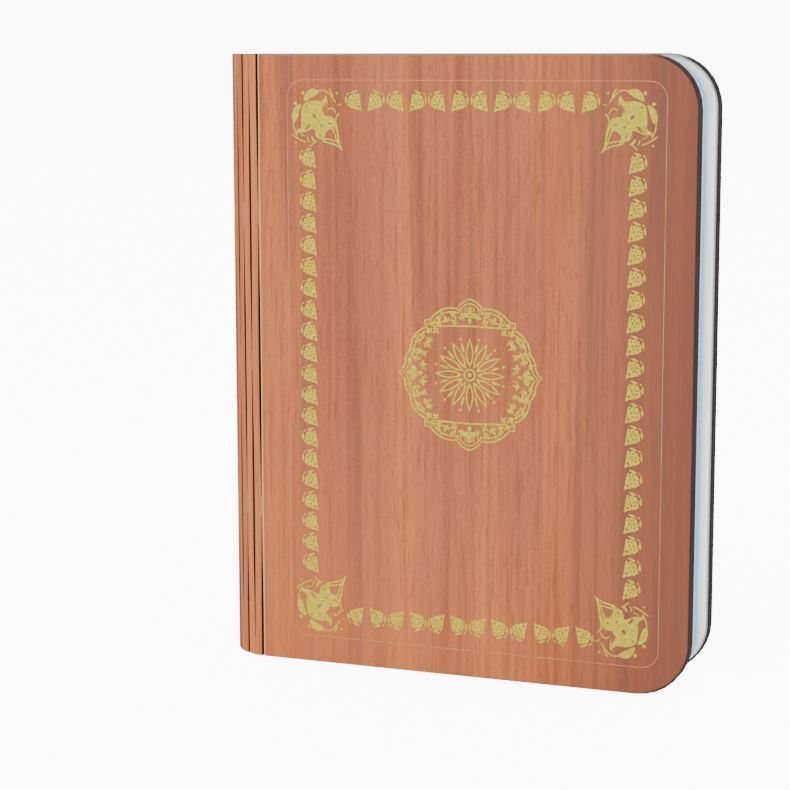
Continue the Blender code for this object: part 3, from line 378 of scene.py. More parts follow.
def gold_material(name):
    """Thin printed film: khaki gold, a little uneven, and worn where the grain shows through."""
    n = Nodes(name)
    place = n.coordinates()
    mottle = n.noise(n.scaled(place, (420, 420, 420)), 1, 3, 0.6)
    worn = n.noise(n.scaled(place, (1500, 1500, 260), (0.4, 0, 0)), 1, 2, 0.6)
    colour = n.mix(n.band(mottle, 0.38, 0.66), GOLD, GOLD_LIGHT)
    colour = n.mix(n.times(n.band(worn, 0.62, 0.74), 0.6), colour, GOLD_DARK)
    veins = n.cells(n.scaled(place, (820, 820, 820)), 1, "Distance", "DISTANCE_TO_EDGE")
    colour = n.mix(n.times(n.band(veins, 0.14, 0.03), 0.42), colour, GOLD_DARK)
    x = n.split(place)[0]
    # painted shade: the film grows a little darker towards the fore-edge side
    colour = n.mix(n.times(n.band(x, 0.0, 0.08), 0.14), colour, (0.55, 0.42, 0.05))
    return n.set(colour=colour, rough=0.62, specular=0.25, metal=0.0,
                 normal=n.bump(worn, 0.12, 0.00003))


def fine_line_material(name):
    """A hair line of worn film, between the wood's colour and gold."""
    n = Nodes(name)
    place = n.coordinates()
    worn = n.noise(n.scaled(place, (500, 500, 120)), 1, 3, 0.6)
    colour = n.mix(n.band(worn, 0.35, 0.62), LINE_GOLD, WOOD_LIGHT)
    return n.set(colour=colour, rough=0.6, specular=0.25)


def liner_material(name):
    """Matt lining paper on the boards' inner faces."""
    n = Nodes(name)
    place = n.coordinates()
    fibres = n.noise(n.scaled(place, (700, 700, 700)), 1, 3, 0.6)
    weave = n.noise(n.scaled(place, (90, 90, 90)), 1, 2, 0.5)
    colour = n.mix(n.band(fibres, 0.35, 0.65), (0.66, 0.69, 0.68), (0.74, 0.76, 0.75))
    colour = n.mix(n.times(n.band(weave, 0.4, 0.65), 0.3), colour, (0.60, 0.64, 0.65))
    return n.set(colour=colour, rough=0.8, specular=0.2, normal=n.bump(fibres, 0.12, 0.00005))


def metal_material(name, base, stretch, rough):
    """Plated metal with fine brushing in one direction and light wear."""
    n = Nodes(name)
    place = n.coordinates()
    brush = n.noise(n.scaled(place, stretch), 1, 3, 0.65)
    wear = n.noise(n.scaled(place, (350, 350, 350)), 1, 3, 0.6)
    dark = tuple(c * 0.72 for c in base)
    colour = n.mix(n.band(brush, 0.35, 0.65), dark, base)
    colour = n.mix(n.times(n.band(wear, 0.6, 0.75), 0.4), colour, tuple(c * 0.5 for c in base))
    roughness = n.plus(n.times(brush, 0.2), rough)
    return n.set(colour=colour, rough=roughness, metal=1.0, normal=n.bump(brush, 0.12, 0.00003))


def plastic_material(name, base, rough, grain_size=900, tint=None):
    """Moulded plastic: spark-eroded grain and slight colour drift."""
    n = Nodes(name)
    place = n.coordinates()
    spark = n.noise(n.scaled(place, (grain_size,) * 3), 1, 3, 0.6)
    drift = n.noise(n.scaled(place, (45, 45, 45)), 1, 2, 0.5)
    lift = tint or tuple(min(c * 1.35 + 0.006, 0.95) for c in base)
    colour = n.mix(n.band(drift, 0.35, 0.65), base, lift)
    colour = n.mix(n.times(n.band(spark, 0.58, 0.72), 0.25), colour, tuple(c * 0.7 for c in base))
    return n.set(colour=colour, rough=n.band(spark, 0.3, 0.7, rough - 0.06, rough + 0.08),
                 specular=0.4, normal=n.bump(spark, 0.14, 0.00004))


def diffuser_material(name):
    """Frosted moulding that scatters light, with a faint flow along Z."""
    n = Nodes(name)
    place = n.coordinates()
    spark = n.noise(n.scaled(place, (1100, 1100, 1100)), 1, 2, 0.6)
    flow = n.noise(n.scaled(place, (60, 60, 9)), 1, 2, 0.5)
    colour = n.mix(n.band(flow, 0.35, 0.65), (0.84, 0.83, 0.78), (0.90, 0.89, 0.86))
    return n.set(colour=colour, rough=n.band(spark, 0.3, 0.7, 0.34, 0.5), specular=0.4, sub=0.5,
                 sub_scale=0.003, glow=colour, glow_power=0.12, normal=n.bump(spark, 0.1, 0.00003))


def circuit_material(name, mask, mask_light, trace):
    """Circuit board: solder mask over traces, with scattered tinned pads."""
    n = Nodes(name)
    place = n.coordinates()
    lines = n.math("ABSOLUTE", n.math("SINE", n.times(n.split(place)[1], 2600)))
    steps = n.cells(n.scaled(place, (260, 260, 130)), 1, "Color")
    run = n.times(n.band(lines, 0.82, 0.92), n.band(n.split(steps)[0], 0.45, 0.55))
    colour = n.mix(n.times(run, 0.7), mask, mask_light)
    pads = n.cells(n.scaled(place, (420, 420, 420)), 1)
    colour = n.mix(n.times(n.band(pads, 0.16, 0.10), 0.75), colour, trace)
    speck = n.noise(n.scaled(place, (1500, 1500, 1500)), 1, 2, 0.6)
    return n.set(colour=colour, rough=n.band(speck, 0.3, 0.7, 0.32, 0.48), specular=0.45,
                 normal=n.bump(run, 0.2, 0.00003))


def light_board_material(name, chip_depth):
    """White board whose raised chips are pale yellow phosphor in a white frame."""
    n = Nodes(name)
    place = n.coordinates()
    x, y = n.split(place)[:2]
    raised = n.band(x, chip_depth, chip_depth + 0.00008)
    speck = n.noise(n.scaled(place, (1300, 1300, 1300)), 1, 2, 0.6)
    runs = n.math("ABSOLUTE", n.math("SINE", n.times(y, 2100)))
    base = n.mix(n.times(n.band(runs, 0.86, 0.94), 0.5), (0.78, 0.78, 0.75), (0.66, 0.67, 0.65))
    phosphor = n.mix(n.band(speck, 0.35, 0.65), (0.86, 0.72, 0.26), (0.90, 0.80, 0.38))
    return n.set(colour=n.mix(raised, base, phosphor), rough=0.4, specular=0.4,
                 normal=n.bump(speck, 0.1, 0.00003))


def cell_material(name, ends):
    """Shrink sleeve with faint creases, bare steel at the poles."""
    n = Nodes(name)
    place = n.coordinates()
    z = n.split(place)[2]
    crease = n.noise(n.scaled(place, (400, 400, 60)), 1, 2, 0.6)
    blue = n.mix(n.band(crease, 0.35, 0.65), (0.035, 0.12, 0.30), (0.055, 0.17, 0.38))
    sleeve_low, sleeve_high, fade = ends[0] + 0.0007, ends[1] - 0.0014, 0.0002
    low = n.band(z, sleeve_low + fade, sleeve_low)
    high = n.band(z, sleeve_high - fade, sleeve_high)
    pole = n.math("ADD", low, high, clamp=True)
    colour = n.mix(pole, blue, (0.62, 0.62, 0.62))
    return n.set(colour=colour, rough=0.32, metal=pole, specular=0.5, normal=n.bump(crease, 0.15, 0.00005))


# Materials of the CAD nodes
FINISH = {}
for side, shift, inner_sign in (("front", 0.0, 1.0), ("back", 3.7, -1.0)):
    FINISH[f"{side}_board"] = board_material(f"{side}_veneer", inner_sign, shift)
    FINISH[f"{side}_paste_down"] = liner_material(f"{side}_liner_paper")
    for level in ("low", "high"):
        FINISH[f"{side}_magnet_{level}"] = metal_material(
            f"{side}_{level}_nickel", (0.62, 0.61, 0.58), (500, 500, 500), 0.24)
for number in range(1, SLIT_COUNT):
    FINISH[f"spine_slat_{number:02d}"] = slat_material(f"slat_veneer_{number:02d}", number * 0.137)
for node in ("core_back_shell", "top_cap", "bottom_cap"):
    FINISH[node] = plastic_material(f"{node}_moulding", (0.022, 0.021, 0.022), 0.5)
FINISH["core_diffuser"] = diffuser_material("frosted_diffuser")
for level in ("top", "bottom"):
    for side in ("front", "back"):
        FINISH[f"{level}_cap_screw_{side}"] = metal_material(
            f"{level}_{side}_screw_steel", (0.58, 0.58, 0.59), (900, 900, 200), 0.26)
CHIP_HEIGHT = 0.0008
FINISH["led_board"] = light_board_material("light_board_white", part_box("led_board")[1].x - CHIP_HEIGHT)
for level in ("low", "high"):
    low_corner, high_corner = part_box(f"battery_cell_{level}")
    FINISH[f"battery_cell_{level}"] = cell_material(f"{level}_cell_sleeve", (low_corner.z, high_corner.z))
FINISH["control_board"] = circuit_material(
    "control_board_green", (0.012, 0.10, 0.045), (0.03, 0.19, 0.09), (0.62, 0.60, 0.52))
FINISH["switch_board"] = circuit_material(
    "switch_board_green", (0.012, 0.09, 0.05), (0.03, 0.17, 0.09), (0.60, 0.58, 0.50))
FINISH["usb_socket"] = metal_material("socket_shell", (0.60, 0.60, 0.61), (300, 300, 1200), 0.25)
FINISH["speaker_driver"] = plastic_material("speaker_frame_and_cone", (0.020, 0.020, 0.021), 0.6, 700)
FINISH["press_switch"] = plastic_material("switch_housing", (0.026, 0.026, 0.027), 0.45, 1200)
FINISH["power_button"] = plastic_material("button_cap", (0.030, 0.030, 0.031), 0.36, 1400)
FINISH["remote_eye"] = plastic_material("smoked_eye", (0.045, 0.008, 0.012), 0.14, 300, (0.07, 0.012, 0.018))

for name, made in FINISH.items():
    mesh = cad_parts[name].data
    mesh.materials.clear()
    mesh.materials.append(made)


def mesh_piece(name, vertices, faces, made, smooth=False):
    """One mesh object with one material, its vertices in the part's own frame."""
    mesh = bpy.data.meshes.new(name)
    mesh.from_pydata([tuple(v) for v in vertices], [], faces)
    mesh.validate()
    mesh.materials.append(made)
    if smooth:
        mesh.polygons.foreach_set("use_smooth", [True] * len(mesh.polygons))
    obj = bpy.data.objects.new(name, mesh)
    bpy.context.scene.collection.objects.link(obj)
    return obj


# Wooden bridges across the slits, each with lips that narrow the slit towards it
BRIDGE_LENGTH = 0.0066
BRIDGE_OFFSET = 0.0521
BRIDGE_DEPTH = 0.0005
LIP_LENGTH = 0.033
LIP_SHARES = (0.01, 0.2, 0.45, 0.7, 0.88, 1.0)
LIP_GAP_SHARE = 0.16
LEAST_LIP_SHARE = 0.002
TOUCH = 1e-9
bridge_wood = bridge_material("bridge_veneer")


def body_of_member(number):
    """The body of member 0 (front board) to 16 (back board) of the sheet."""
    if number == 0:
        return "front_cover"
    if number == SLIT_COUNT:
        return "back_cover"
    return "core" if number == MIDDLE_SLAT else f"slat_{number:02d}"


def member_point(number, across, depth):
    """A point of a member's section: across towards the member before it, depth in from the outer face."""
    turn = Matrix.Rotation(-number * SLIT_TURN, 3, "Z")
    return turn @ Vector((across, -(OUTER_RADIUS - depth), 0)) + Vector((SPINE_X, 0, 0))


def bridge_centres(number):
    """The heights of a slit's bridges: two in odd slits, three in even ones."""
    middle = HEIGHT / 2
    if number % 2:
        return [middle - BRIDGE_OFFSET, middle + BRIDGE_OFFSET]
    return [BRIDGE_LENGTH / 2, middle, HEIGHT - BRIDGE_LENGTH / 2]


def make_bridges(number):
    """The wood that narrows and crosses one slit, as one sheet with the open part of the slit left out."""
    centres = bridge_centres(number)
    vertices, faces = [], []

    def ring(height, start, end):
        """Four corners of the strip's cross-section between two shares of the slit's width."""
        made = []
        for depth, share in ((0, start), (0, end), (BRIDGE_DEPTH, end), (BRIDGE_DEPTH, start)):
            a = member_point(number - 1, -HALF_SLAT, depth)
            b = member_point(number, HALF_SLAT, depth)
            if number == 1:
                a = Vector((BOARD_ROOT_X, -(OUTER_RADIUS - depth), 0))
            if number == SLIT_COUNT:
                b = Vector((BOARD_ROOT_X, OUTER_RADIUS - depth, 0))
            point = a.lerp(b, share)
            vertices.append((point.x, point.y, height))
            made.append(len(vertices) - 1)
        return made

    def strip(rows):
        """Join a run of rings into a closed bar."""
        rings = [ring(*row) for row in rows]
        for low, high in zip(rings, rings[1:]):
            for i in range(4):
                j = (i + 1) % 4
                faces.append((low[i], low[j], high[j], high[i]))
        faces.append(tuple(reversed(rings[0])))
        faces.append(tuple(rings[-1]))

    for centre in centres:
        profile = [(centre + sign * BRIDGE_LENGTH / 2, 0.5) for sign in (-1, 1)]
        for share in LIP_SHARES:
            half = max(0.5 * (1 - LIP_GAP_SHARE) * (1 - share), LEAST_LIP_SHARE)
            for sign in (-1, 1):
                profile.append((centre + sign * (BRIDGE_LENGTH / 2 + share * LIP_LENGTH), half))
        profile = sorted(row for row in profile if -TOUCH <= row[0] <= HEIGHT + TOUCH)
        strip([(height, 0.0, half) for height, half in profile])
        strip([(height, 1.0 - half, 1.0) for height, half in profile])
    obj = mesh_piece(f"spine_bridge_{number:02d}", vertices, faces, bridge_wood)
    shape = bmesh.new()
    shape.from_mesh(obj.data)
    bmesh.ops.recalc_face_normals(shape, faces=shape.faces)
    shape.to_mesh(obj.data)
    shape.free()
    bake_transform(obj)


for number in range(1, SLIT_COUNT + 1):
    make_bridges(number)

# Paper leaves, each a folded sheet bound to its slat
LEAF_COUNT = 14
LEAF_INSET = 0.0012
LEAF_END_X = HIGH.x - LEAF_INSET
LEAF_LOW = LEAF_INSET
LEAF_HIGH = HEIGHT - LEAF_INSET
LEAF_PITCH = 0.0017786
LEAF_THICK = 0.0012786
LEAF_CORNER = 0.0173
ROOT_RADIUS = 0.012
ROOT_HALF = 0.00025
LEAST_STATION = 0.0006
CAP_CLEAR = 0.010137 + 0.0004
WINDOW_LOW = 0.0087
WINDOW_HIGH = 0.2071
WHOLE_LEAF_STATIONS = (0.0032, 0.0072)
LEAF_STATIONS = (0.03, 0.045, 0.07, 0.095, 0.12, 0.135)
CORNER_ANGLES = (0, 15, 30, 45, 58, 70, 80, 90)
FOLD_ANGLES = (0, 25, 50, 72, 90)
LEVEL_SHARES = (0.12, 0.25, 0.4, 0.5, 0.6, 0.75, 0.88)
BOW, BOW_START, BOW_RATE, BOW_SHIFT = 0.00006, 0.03, 29, 1.7
BINDING_HALF, BINDING_OUT, BINDING_IN = 0.0008, 0.0129, 0.01195
PAPER_WALL = 0.00018
# painted glow of the paper leaves, from the front board's leaf to the back board's
LEAST_PAINTED_GLOW, PAINTED_GLOW_RANGE = 0.13, 0.62


def leaf_member(number):
    """The slat that carries a leaf: one leaf to each, but none to the middle one."""
    return number if number < MIDDLE_SLAT else number + 1


def make_leaf(number):
    """A hairpin of paper: two panels from the binding strip, folded at the fore-edge."""
    member = leaf_member(number)
    turn = member * SLIT_TURN
    root = Vector((SPINE_X - ROOT_RADIUS * math.sin(turn), -ROOT_RADIUS * math.cos(turn)))
    end = Vector((LEAF_END_X, (number - (LEAF_COUNT + 1) / 2) * LEAF_PITCH))
    along = end - root
    length = along.length
    along.normalize()
    beside = Vector((-along.y, along.x))
    half_end = LEAF_THICK / 2
    has_window = min(member, SLIT_COUNT - member) > 2
    if has_window:
        nearest = abs(root.y) - ROOT_HALF
        half_window = math.sqrt(CAP_CLEAR ** 2 - nearest ** 2)
        middle = SPINE_X - root.x
        window = (middle - half_window, middle + half_window)
    else:
        window = WHOLE_LEAF_STATIONS

    def half_thickness(s):
        """Half the leaf's thickness at a distance from its bound edge."""
        share = min(max(s / length, 0), 1)
        return ROOT_HALF + (half_end - ROOT_HALF) * share

    corner_start = length - LEAF_CORNER
    fold_start = length - half_end
    stations = [0.0, max(window[0], LEAST_STATION), window[1], *LEAF_STATIONS]
    stations += [corner_start + LEAF_CORNER * math.sin(math.radians(a)) for a in CORNER_ANGLES]
    stations = sorted(s for s in {round(s, 7) for s in stations} if s < fold_start)

    def reach(s):
        """Lowest and highest Z of the panel at a distance along it."""
        over = max(s - corner_start, 0) / LEAF_CORNER
        drop = LEAF_CORNER * (1 - math.sqrt(max(1 - over * over, 0)))
        return LEAF_LOW + drop, LEAF_HIGH - drop

    def wave(s, height):
        """A slight bow of the sheet, none at its root, its fold and its middle."""
        share = min(max((s - BOW_START) / (length - BOW_START), 0), 1)
        return BOW * math.sin(math.pi * share) * math.sin(height * BOW_RATE + number * BOW_SHIFT)

    vertices, faces = [], []

    def column(side, s):
        """A column of points of one panel, at the shares of its height in levels."""
        low, high = reach(s)
        made = []
        for share in levels:
            height = low + (high - low) * share
            if s < fold_start:
                out = side * (half_thickness(s) - PAPER_WALL * 0.5)
            else:
                out = side * math.sqrt(max(half_end ** 2 - (s - fold_start) ** 2, 0))
            place = root + along * s + beside * (out + wave(s, height))
            vertices.append((place.x, place.y, height))
            made.append(len(vertices) - 1)
        return made

    window_shares = [(z - LEAF_LOW) / (LEAF_HIGH - LEAF_LOW) for z in (WINDOW_LOW, WINDOW_HIGH)]
    levels = [0.0, window_shares[0], *LEVEL_SHARES, window_shares[1], 1.0]
    fold = [fold_start + half_end * math.sin(math.radians(a)) for a in FOLD_ANGLES]
    path = [(-1, s) for s in stations] + [(-1, s) for s in fold[:-1]] + [(1, fold[-1])]
    path += [(1, s) for s in reversed(fold[:-1])] + [(1, s) for s in reversed(stations)]
    columns = [column(side, s) for side, s in path]
    for index in range(len(columns) - 1):
        low_s, high_s = sorted((path[index][1], path[index + 1][1]))
        inside_window = has_window and low_s >= window[0] - 1e-6 and high_s <= window[1] + 1e-6
        for level in range(len(levels) - 1):
            if inside_window and 1 <= level <= len(levels) - 3:
                continue
            a, b = columns[index], columns[index + 1]
            faces.append((a[level], b[level], b[level + 1], a[level + 1]))
    # The binding strip along the slat
    base = len(vertices)
    for height in (LEAF_LOW, LEAF_HIGH):
        for across, radius in ((-BINDING_HALF, BINDING_OUT), (BINDING_HALF, BINDING_OUT),
                               (BINDING_HALF, BINDING_IN), (-BINDING_HALF, BINDING_IN)):
            local = Matrix.Rotation(-turn, 3, "Z") @ Vector((across, -radius, 0))
            vertices.append((local.x + SPINE_X, local.y, height))
    for i in range(4):
        j = (i + 1) % 4
        faces.append((base + i, base + j, base + 4 + j, base + 4 + i))
    faces.append((base, base + 3, base + 2, base + 1))
    faces.append((base + 4, base + 5, base + 6, base + 7))
    # painted shade and light: each leaf's tint, and a painted glow that grows towards the back board
    share = (number - 1) / (LEAF_COUNT - 1)
    made = paper_material(f"paper_{number:02d}", PAPER_LIGHT_AND_SHADE_TINTS[number - 1], LEAST_PAINTED_GLOW + PAINTED_GLOW_RANGE * share)
    obj = mesh_piece(f"paper_leaf_{number:02d}", vertices, faces, made, True)
    solid = obj.modifiers.new("paper", "SOLIDIFY")
    solid.thickness = PAPER_WALL
    solid.offset = 0
    solid.use_even_offset = False
    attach(obj, body_of_member(member))
    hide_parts(f"page_leaf_{number:02d}")


for number in range(1, LEAF_COUNT + 1):
    make_leaf(number)

# Printed ornament on the front board. Its sizes and places are in millimetres
FILM = 0.00003
FILM_STEP = 0.00000002
film_gold = gold_material("gold_film")
film_line = fine_line_material("fine_film_line")


def board_point(x, z, lift):
    """A place on the front board: x from the board's root, z up, in millimetres."""
    return (BOARD_ROOT_X + x / 1000, FRONT_Y - lift, z / 1000)


def film_piece(name, loops, made, lift=FILM, side_x=1, side_z=1, middle=(0, 0)):
    """Closed outlines filled as one thin sheet, which is then set or mirrored in its place on the board.

    A loop inside another is a hole.
    """
    curve = bpy.data.curves.new(name, "CURVE")
    curve.dimensions = "2D"
    curve.fill_mode = "BOTH"
    for loop in loops:
        spline = curve.splines.new("POLY")
        spline.points.add(len(loop) - 1)
        for point, (x, z) in zip(spline.points, loop):
            point.co = (x, z, 0, 1)
        spline.use_cyclic_u = True
    source = bpy.data.objects.new(name, curve)
    bpy.context.scene.collection.objects.link(source)
    evaluated = source.evaluated_get(bpy.context.evaluated_depsgraph_get())
    flat = bpy.data.meshes.new_from_object(evaluated)
    shape = bmesh.new()
    shape.from_mesh(flat)
    bpy.data.objects.remove(source, do_unlink=True)
    bpy.data.curves.remove(curve)
    bpy.data.meshes.remove(flat)
    for vertex in shape.verts:
        vertex.co = board_point(middle[0] + side_x * vertex.co.x, middle[1] + side_z * vertex.co.y, lift)
    bmesh.ops.remove_doubles(shape, verts=shape.verts, dist=1e-7)
    bmesh.ops.recalc_face_normals(shape, faces=shape.faces)
    for face in shape.faces:
        if face.normal.y > 0:
            face.normal_flip()
    mesh = bpy.data.meshes.new(name)
    shape.to_mesh(mesh)
    shape.free()
    mesh.materials.append(made)
    obj = bpy.data.objects.new(name, mesh)
    bpy.context.scene.collection.objects.link(obj)
    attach(obj, "front_cover")
    return obj


def circle(radius, sides, x=0.0, z=0.0):
    """A round outline about a point."""
    turns = [2 * math.pi * i / sides for i in range(sides)]
    return [(x + radius * math.cos(turn), z + radius * math.sin(turn)) for turn in turns]


def spot(x, z, radius):
    """A small round outline."""
    return circle(radius, 7, x, z)


def leaf_shape(x, z, angle, length, width, lean=0.0, steps=7):
    """A pointed leaf from its stem end, bowed to one side by lean."""
    left, right = [], []
    for i in range(steps + 1):
        t = i / steps
        spread = width / 2 * math.sin(math.pi * t) ** 0.8 * (1.15 - 0.45 * t) if 0 < t < 1 else 0
        bow = lean * math.sin(math.pi * t / 2) ** 2 * length
        left.append((t * length, spread + bow))
        right.append((t * length, -spread + bow))
    loop = left + right[-2:0:-1]
    c, s = math.cos(angle), math.sin(angle)
    return [(x + a * c - b * s, z + a * s + b * c) for a, b in loop]


def stroke(points, width, taper=True):
    """A brush line through points."""
    left, right = [], []
    count = len(points)
    for i, (x, z) in enumerate(points):
        x0, z0 = points[max(i - 1, 0)]
        x1, z1 = points[min(i + 1, count - 1)]
        dx, dz = x1 - x0, z1 - z0
        size = math.hypot(dx, dz) or 1
        t = i / (count - 1)
        half = width / 2 * ((1.0 - 0.7 * t) if taper else 1.0)
        left.append((x - dz / size * half, z + dx / size * half))
        right.append((x + dz / size * half, z - dx / size * half))
    return left + right[::-1]


def curl(x, z, heading, radius, turns, width):
    """A tendril that starts straight and winds in."""
    points = []
    steps = 12
    step = 2 * math.pi * turns / steps
    for i in range(steps + 1):
        points.append((x, z))
        size = radius * (1 - 0.75 * i / steps)
        x += size * step * math.cos(heading)
        z += size * step * math.sin(heading)
        heading += step
    return stroke(points, width)


def placed(loops, x, z, turn=0.0, flip_x=False, flip_z=False, scale=1.0):
    """Loops drawn about the origin, set in their place."""
    c, s = math.cos(turn), math.sin(turn)
    out = []
    for loop in loops:
        new = []
        for a, b in loop:
            a, b = a * scale * (-1 if flip_x else 1), b * scale * (-1 if flip_z else 1)
            new.append((x + a * c - b * s, z + a * s + b * c))
        out.append(new)
    return out


def rounded_frame(x0, x1, z0, z1, radius):
    """The outline of a frame with rounded corners."""
    steps = 8
    loop = []
    for cx, cz, start in ((x1 - radius, z1 - radius, 0), (x0 + radius, z1 - radius, 90),
                          (x0 + radius, z0 + radius, 180), (x1 - radius, z0 + radius, 270)):
        for i in range(steps + 1):
            angle = math.radians(start + 90 * i / steps)
            loop.append((cx + radius * math.cos(angle), cz + radius * math.sin(angle)))
    return loop


FRAME_LEFT, FRAME_RIGHT, FRAME_LOW, FRAME_HIGH, FRAME_RADIUS = 10.9, 145.2, 9.4, 206.1, 6.0
LINE_WIDTH = 0.22
film_piece("frame_line", [
    rounded_frame(FRAME_LEFT + inset, FRAME_RIGHT - inset, FRAME_LOW + inset, FRAME_HIGH - inset,
                  FRAME_RADIUS - inset)
    for inset in (0, LINE_WIDTH)
], film_line)


def fan_motif():
    """A small palmette that points down to the right, with two loose petals and pierced veins."""
    body = [(3.0, -3.3), (2.6, -1.6), (2.4, 0.2), (2.15, 1.8), (1.75, 2.9), (0.95, 2.35), (0.15, 2.7),
            (-0.75, 2.2), (-1.6, 2.05), (-1.85, 1.1), (-2.45, 0.45), (-2.2, -0.5), (-2.55, -1.4),
            (-1.75, -1.75), (-1.1, -2.35), (-0.1, -2.35), (0.8, -2.75), (1.6, -2.75), (2.2, -3.1)]
    loops = [body, leaf_shape(-1.5, 2.75, math.radians(14), 3.1, 0.95, 0.08),
             leaf_shape(-3.0, -0.9, math.radians(93), 3.0, 0.9, -0.06),
             leaf_shape(-2.75, 2.15, math.radians(50), 1.2, 0.6),
             leaf_shape(1.25, -2.0, math.radians(28), 1.15, 0.75)]
    for x, z, angle, length in ((0.5, -1.3, 120, 1.2), (-0.6, -1.2, 150, 1.0), (0.9, -0.3, 105, 1.3),
                                (-0.3, 0.1, 135, 1.2), (-1.3, 0.2, 160, 0.8), (1.3, 1.2, 100, 1.0),
                                (0.2, 1.3, 125, 0.9)):
        loops.append(leaf_shape(x, z, math.radians(angle), length, 0.42))
    return loops


FAN_SCALE = 0.98
ROW_X = (35.8, 43.7, 51.0, 58.9, 66.0, 73.9, 81.1, 88.9, 96.1, 104.1, 111.2, 119.2)
LOW_ROW_Z, HIGH_ROW_Z = 18.3, 198.8
LEFT_COLUMN_X, RIGHT_COLUMN_X = 18.8, 135.4
COLUMN_LOW, COLUMN_HIGH = 35.8, 179
COLUMN_COUNT = 20
border = []
for column_x, mirrored in ((LEFT_COLUMN_X, False), (RIGHT_COLUMN_X, True)):
    for i in range(COLUMN_COUNT):
        z = COLUMN_HIGH - (COLUMN_HIGH - COLUMN_LOW) * i / (COLUMN_COUNT - 1)
        border += placed(fan_motif(), column_x, z, flip_x=mirrored, scale=FAN_SCALE)
for row_z, upside in ((HIGH_ROW_Z, False), (LOW_ROW_Z, True)):
    for i, x in enumerate(ROW_X):
        border += placed(fan_motif(), x, row_z, flip_x=bool(i % 2), flip_z=upside, scale=FAN_SCALE)
film_piece("border_fans", border, film_gold)

# The corner flower's outlines are points on a fine grid
GRID = 34
GRID_X, GRID_Z = 340, 420


def traced(points):
    """An outline given on the grid, with Z counted down, as millimetres from the flower's middle."""
    return [((x - GRID_X) / GRID, (GRID_Z - z) / GRID) for x, z in points]


def corner_flower():
    """A flower between two side leaves, with an open pointed leaf towards the board's middle (+X, -Z)."""
    body = [(188, 262), (235, 232), (300, 216), (370, 218), (418, 225), (448, 195), (472, 152), (490, 190),
            (492, 240), (472, 292), (440, 335), (448, 372), (470, 398), (505, 392), (545, 402), (580, 428),
            (606, 462), (588, 500), (548, 520), (505, 545), (472, 566), (455, 600), (440, 642), (420, 668),
            (385, 664), (352, 645), (336, 605), (330, 560), (322, 538), (290, 548), (240, 572), (190, 592),
            (140, 588), (98, 600), (104, 558), (148, 540), (164, 508), (158, 450), (160, 390), (164, 340),
            (172, 300)]
    holes = [
        [(300, 368), (322, 372), (348, 388), (356, 412), (332, 424), (306, 402)],
        [(368, 445), (380, 448), (382, 462), (370, 462)],
        [(402, 495), (420, 490), (432, 506), (420, 520), (402, 514)],
        [(500, 476), (522, 470), (542, 482), (528, 494), (504, 490)],
        [(390, 592), (402, 598), (410, 628), (400, 640), (388, 616)],
        [(204, 560), (232, 515), (268, 490), (284, 498), (256, 536), (222, 562)],
        [(418, 342), (426, 306), (452, 262), (476, 236), (474, 276), (454, 318), (434, 346)],
        [(206, 278), (228, 272), (240, 290), (222, 300)],
    ]
    return [traced(body)] + [traced(hole) for hole in holes]


def corner_sprays():
    """The loose leaves, stems and tendrils round the corner flower."""
    figures = [
        [[(192, 226), (198, 180), (224, 128), (260, 92), (310, 78), (360, 90), (398, 106), (372, 136),
          (322, 170), (270, 192), (232, 216)]],
        [[(165, 265), (130, 260), (96, 280), (62, 320), (43, 380), (44, 440), (60, 474), (95, 456),
          (122, 402), (134, 342), (152, 300)]],
        [[(168, 132), (178, 108), (198, 104), (206, 124), (198, 152), (178, 152)]],
        [[(66, 236), (90, 226), (108, 240), (106, 264), (84, 268), (66, 256)]],
        [[(402, 658), (440, 700), (500, 716), (560, 728), (620, 752), (686, 802), (654, 730), (640, 650),
          (628, 570), (612, 500), (604, 452), (560, 470), (530, 520), (470, 556), (440, 620)],
         [(452, 646), (470, 585), (505, 556), (545, 545), (572, 590), (598, 676), (545, 664), (480, 652)],
         [(474, 668), (540, 680), (600, 694), (640, 742), (590, 716), (520, 700), (474, 688)],
         [(566, 512), (582, 520), (606, 590), (624, 690), (610, 660), (590, 600)]],
        [[(282, 632), (300, 636), (332, 672), (356, 700), (330, 706), (300, 684)]],
    ]
    pieces = [[traced(loop) for loop in loops] for loops in figures]
    for points, width in (
        ([(386, 106), (440, 98), (482, 108), (522, 140), (562, 190), (596, 240)], 16),
        ([(512, 80), (540, 122), (566, 170)], 15),
        ([(56, 462), (62, 520), (84, 580), (106, 622)], 17),
        ([(40, 606), (90, 642), (152, 680), (222, 704)], 16),
        ([(496, 320), (536, 300), (578, 316), (600, 362)], 17),
        ([(598, 440), (604, 398), (640, 362)], 18),
        ([(270, 752), (308, 716), (362, 686)], 17),
        ([(238, 640), (246, 676), (262, 706)], 13),
        ([(612, 280), (640, 258), (672, 262)], 11),
        ([(150, 600), (176, 622), (214, 628)], 12),
    ):
        pieces.append([stroke(traced(points), width / GRID, False)])
    for place in ((612, 130), (90, 708)):
        pieces.append([spot(*traced([place])[0], 0.42)])
    return pieces


def union_film(name, groups, made, side_x=1, side_z=1, middle=(0, 0)):
    """Overlapping figures, each with its own holes, as one object of thin sheets."""
    shape = bmesh.new()
    for index, loops in enumerate(groups):
        lift = FILM + index * FILM_STEP
        part = film_piece(f"{name}_{index}", loops, made, lift, side_x, side_z, middle)
        shape.from_mesh(part.data)
        mesh = part.data
        bpy.data.objects.remove(part, do_unlink=True)
        bpy.data.meshes.remove(mesh)
    mesh = bpy.data.meshes.new(name)
    shape.to_mesh(mesh)
    shape.free()
    mesh.materials.append(made)
    obj = bpy.data.objects.new(name, mesh)
    bpy.context.scene.collection.objects.link(obj)
    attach(obj, "front_cover")


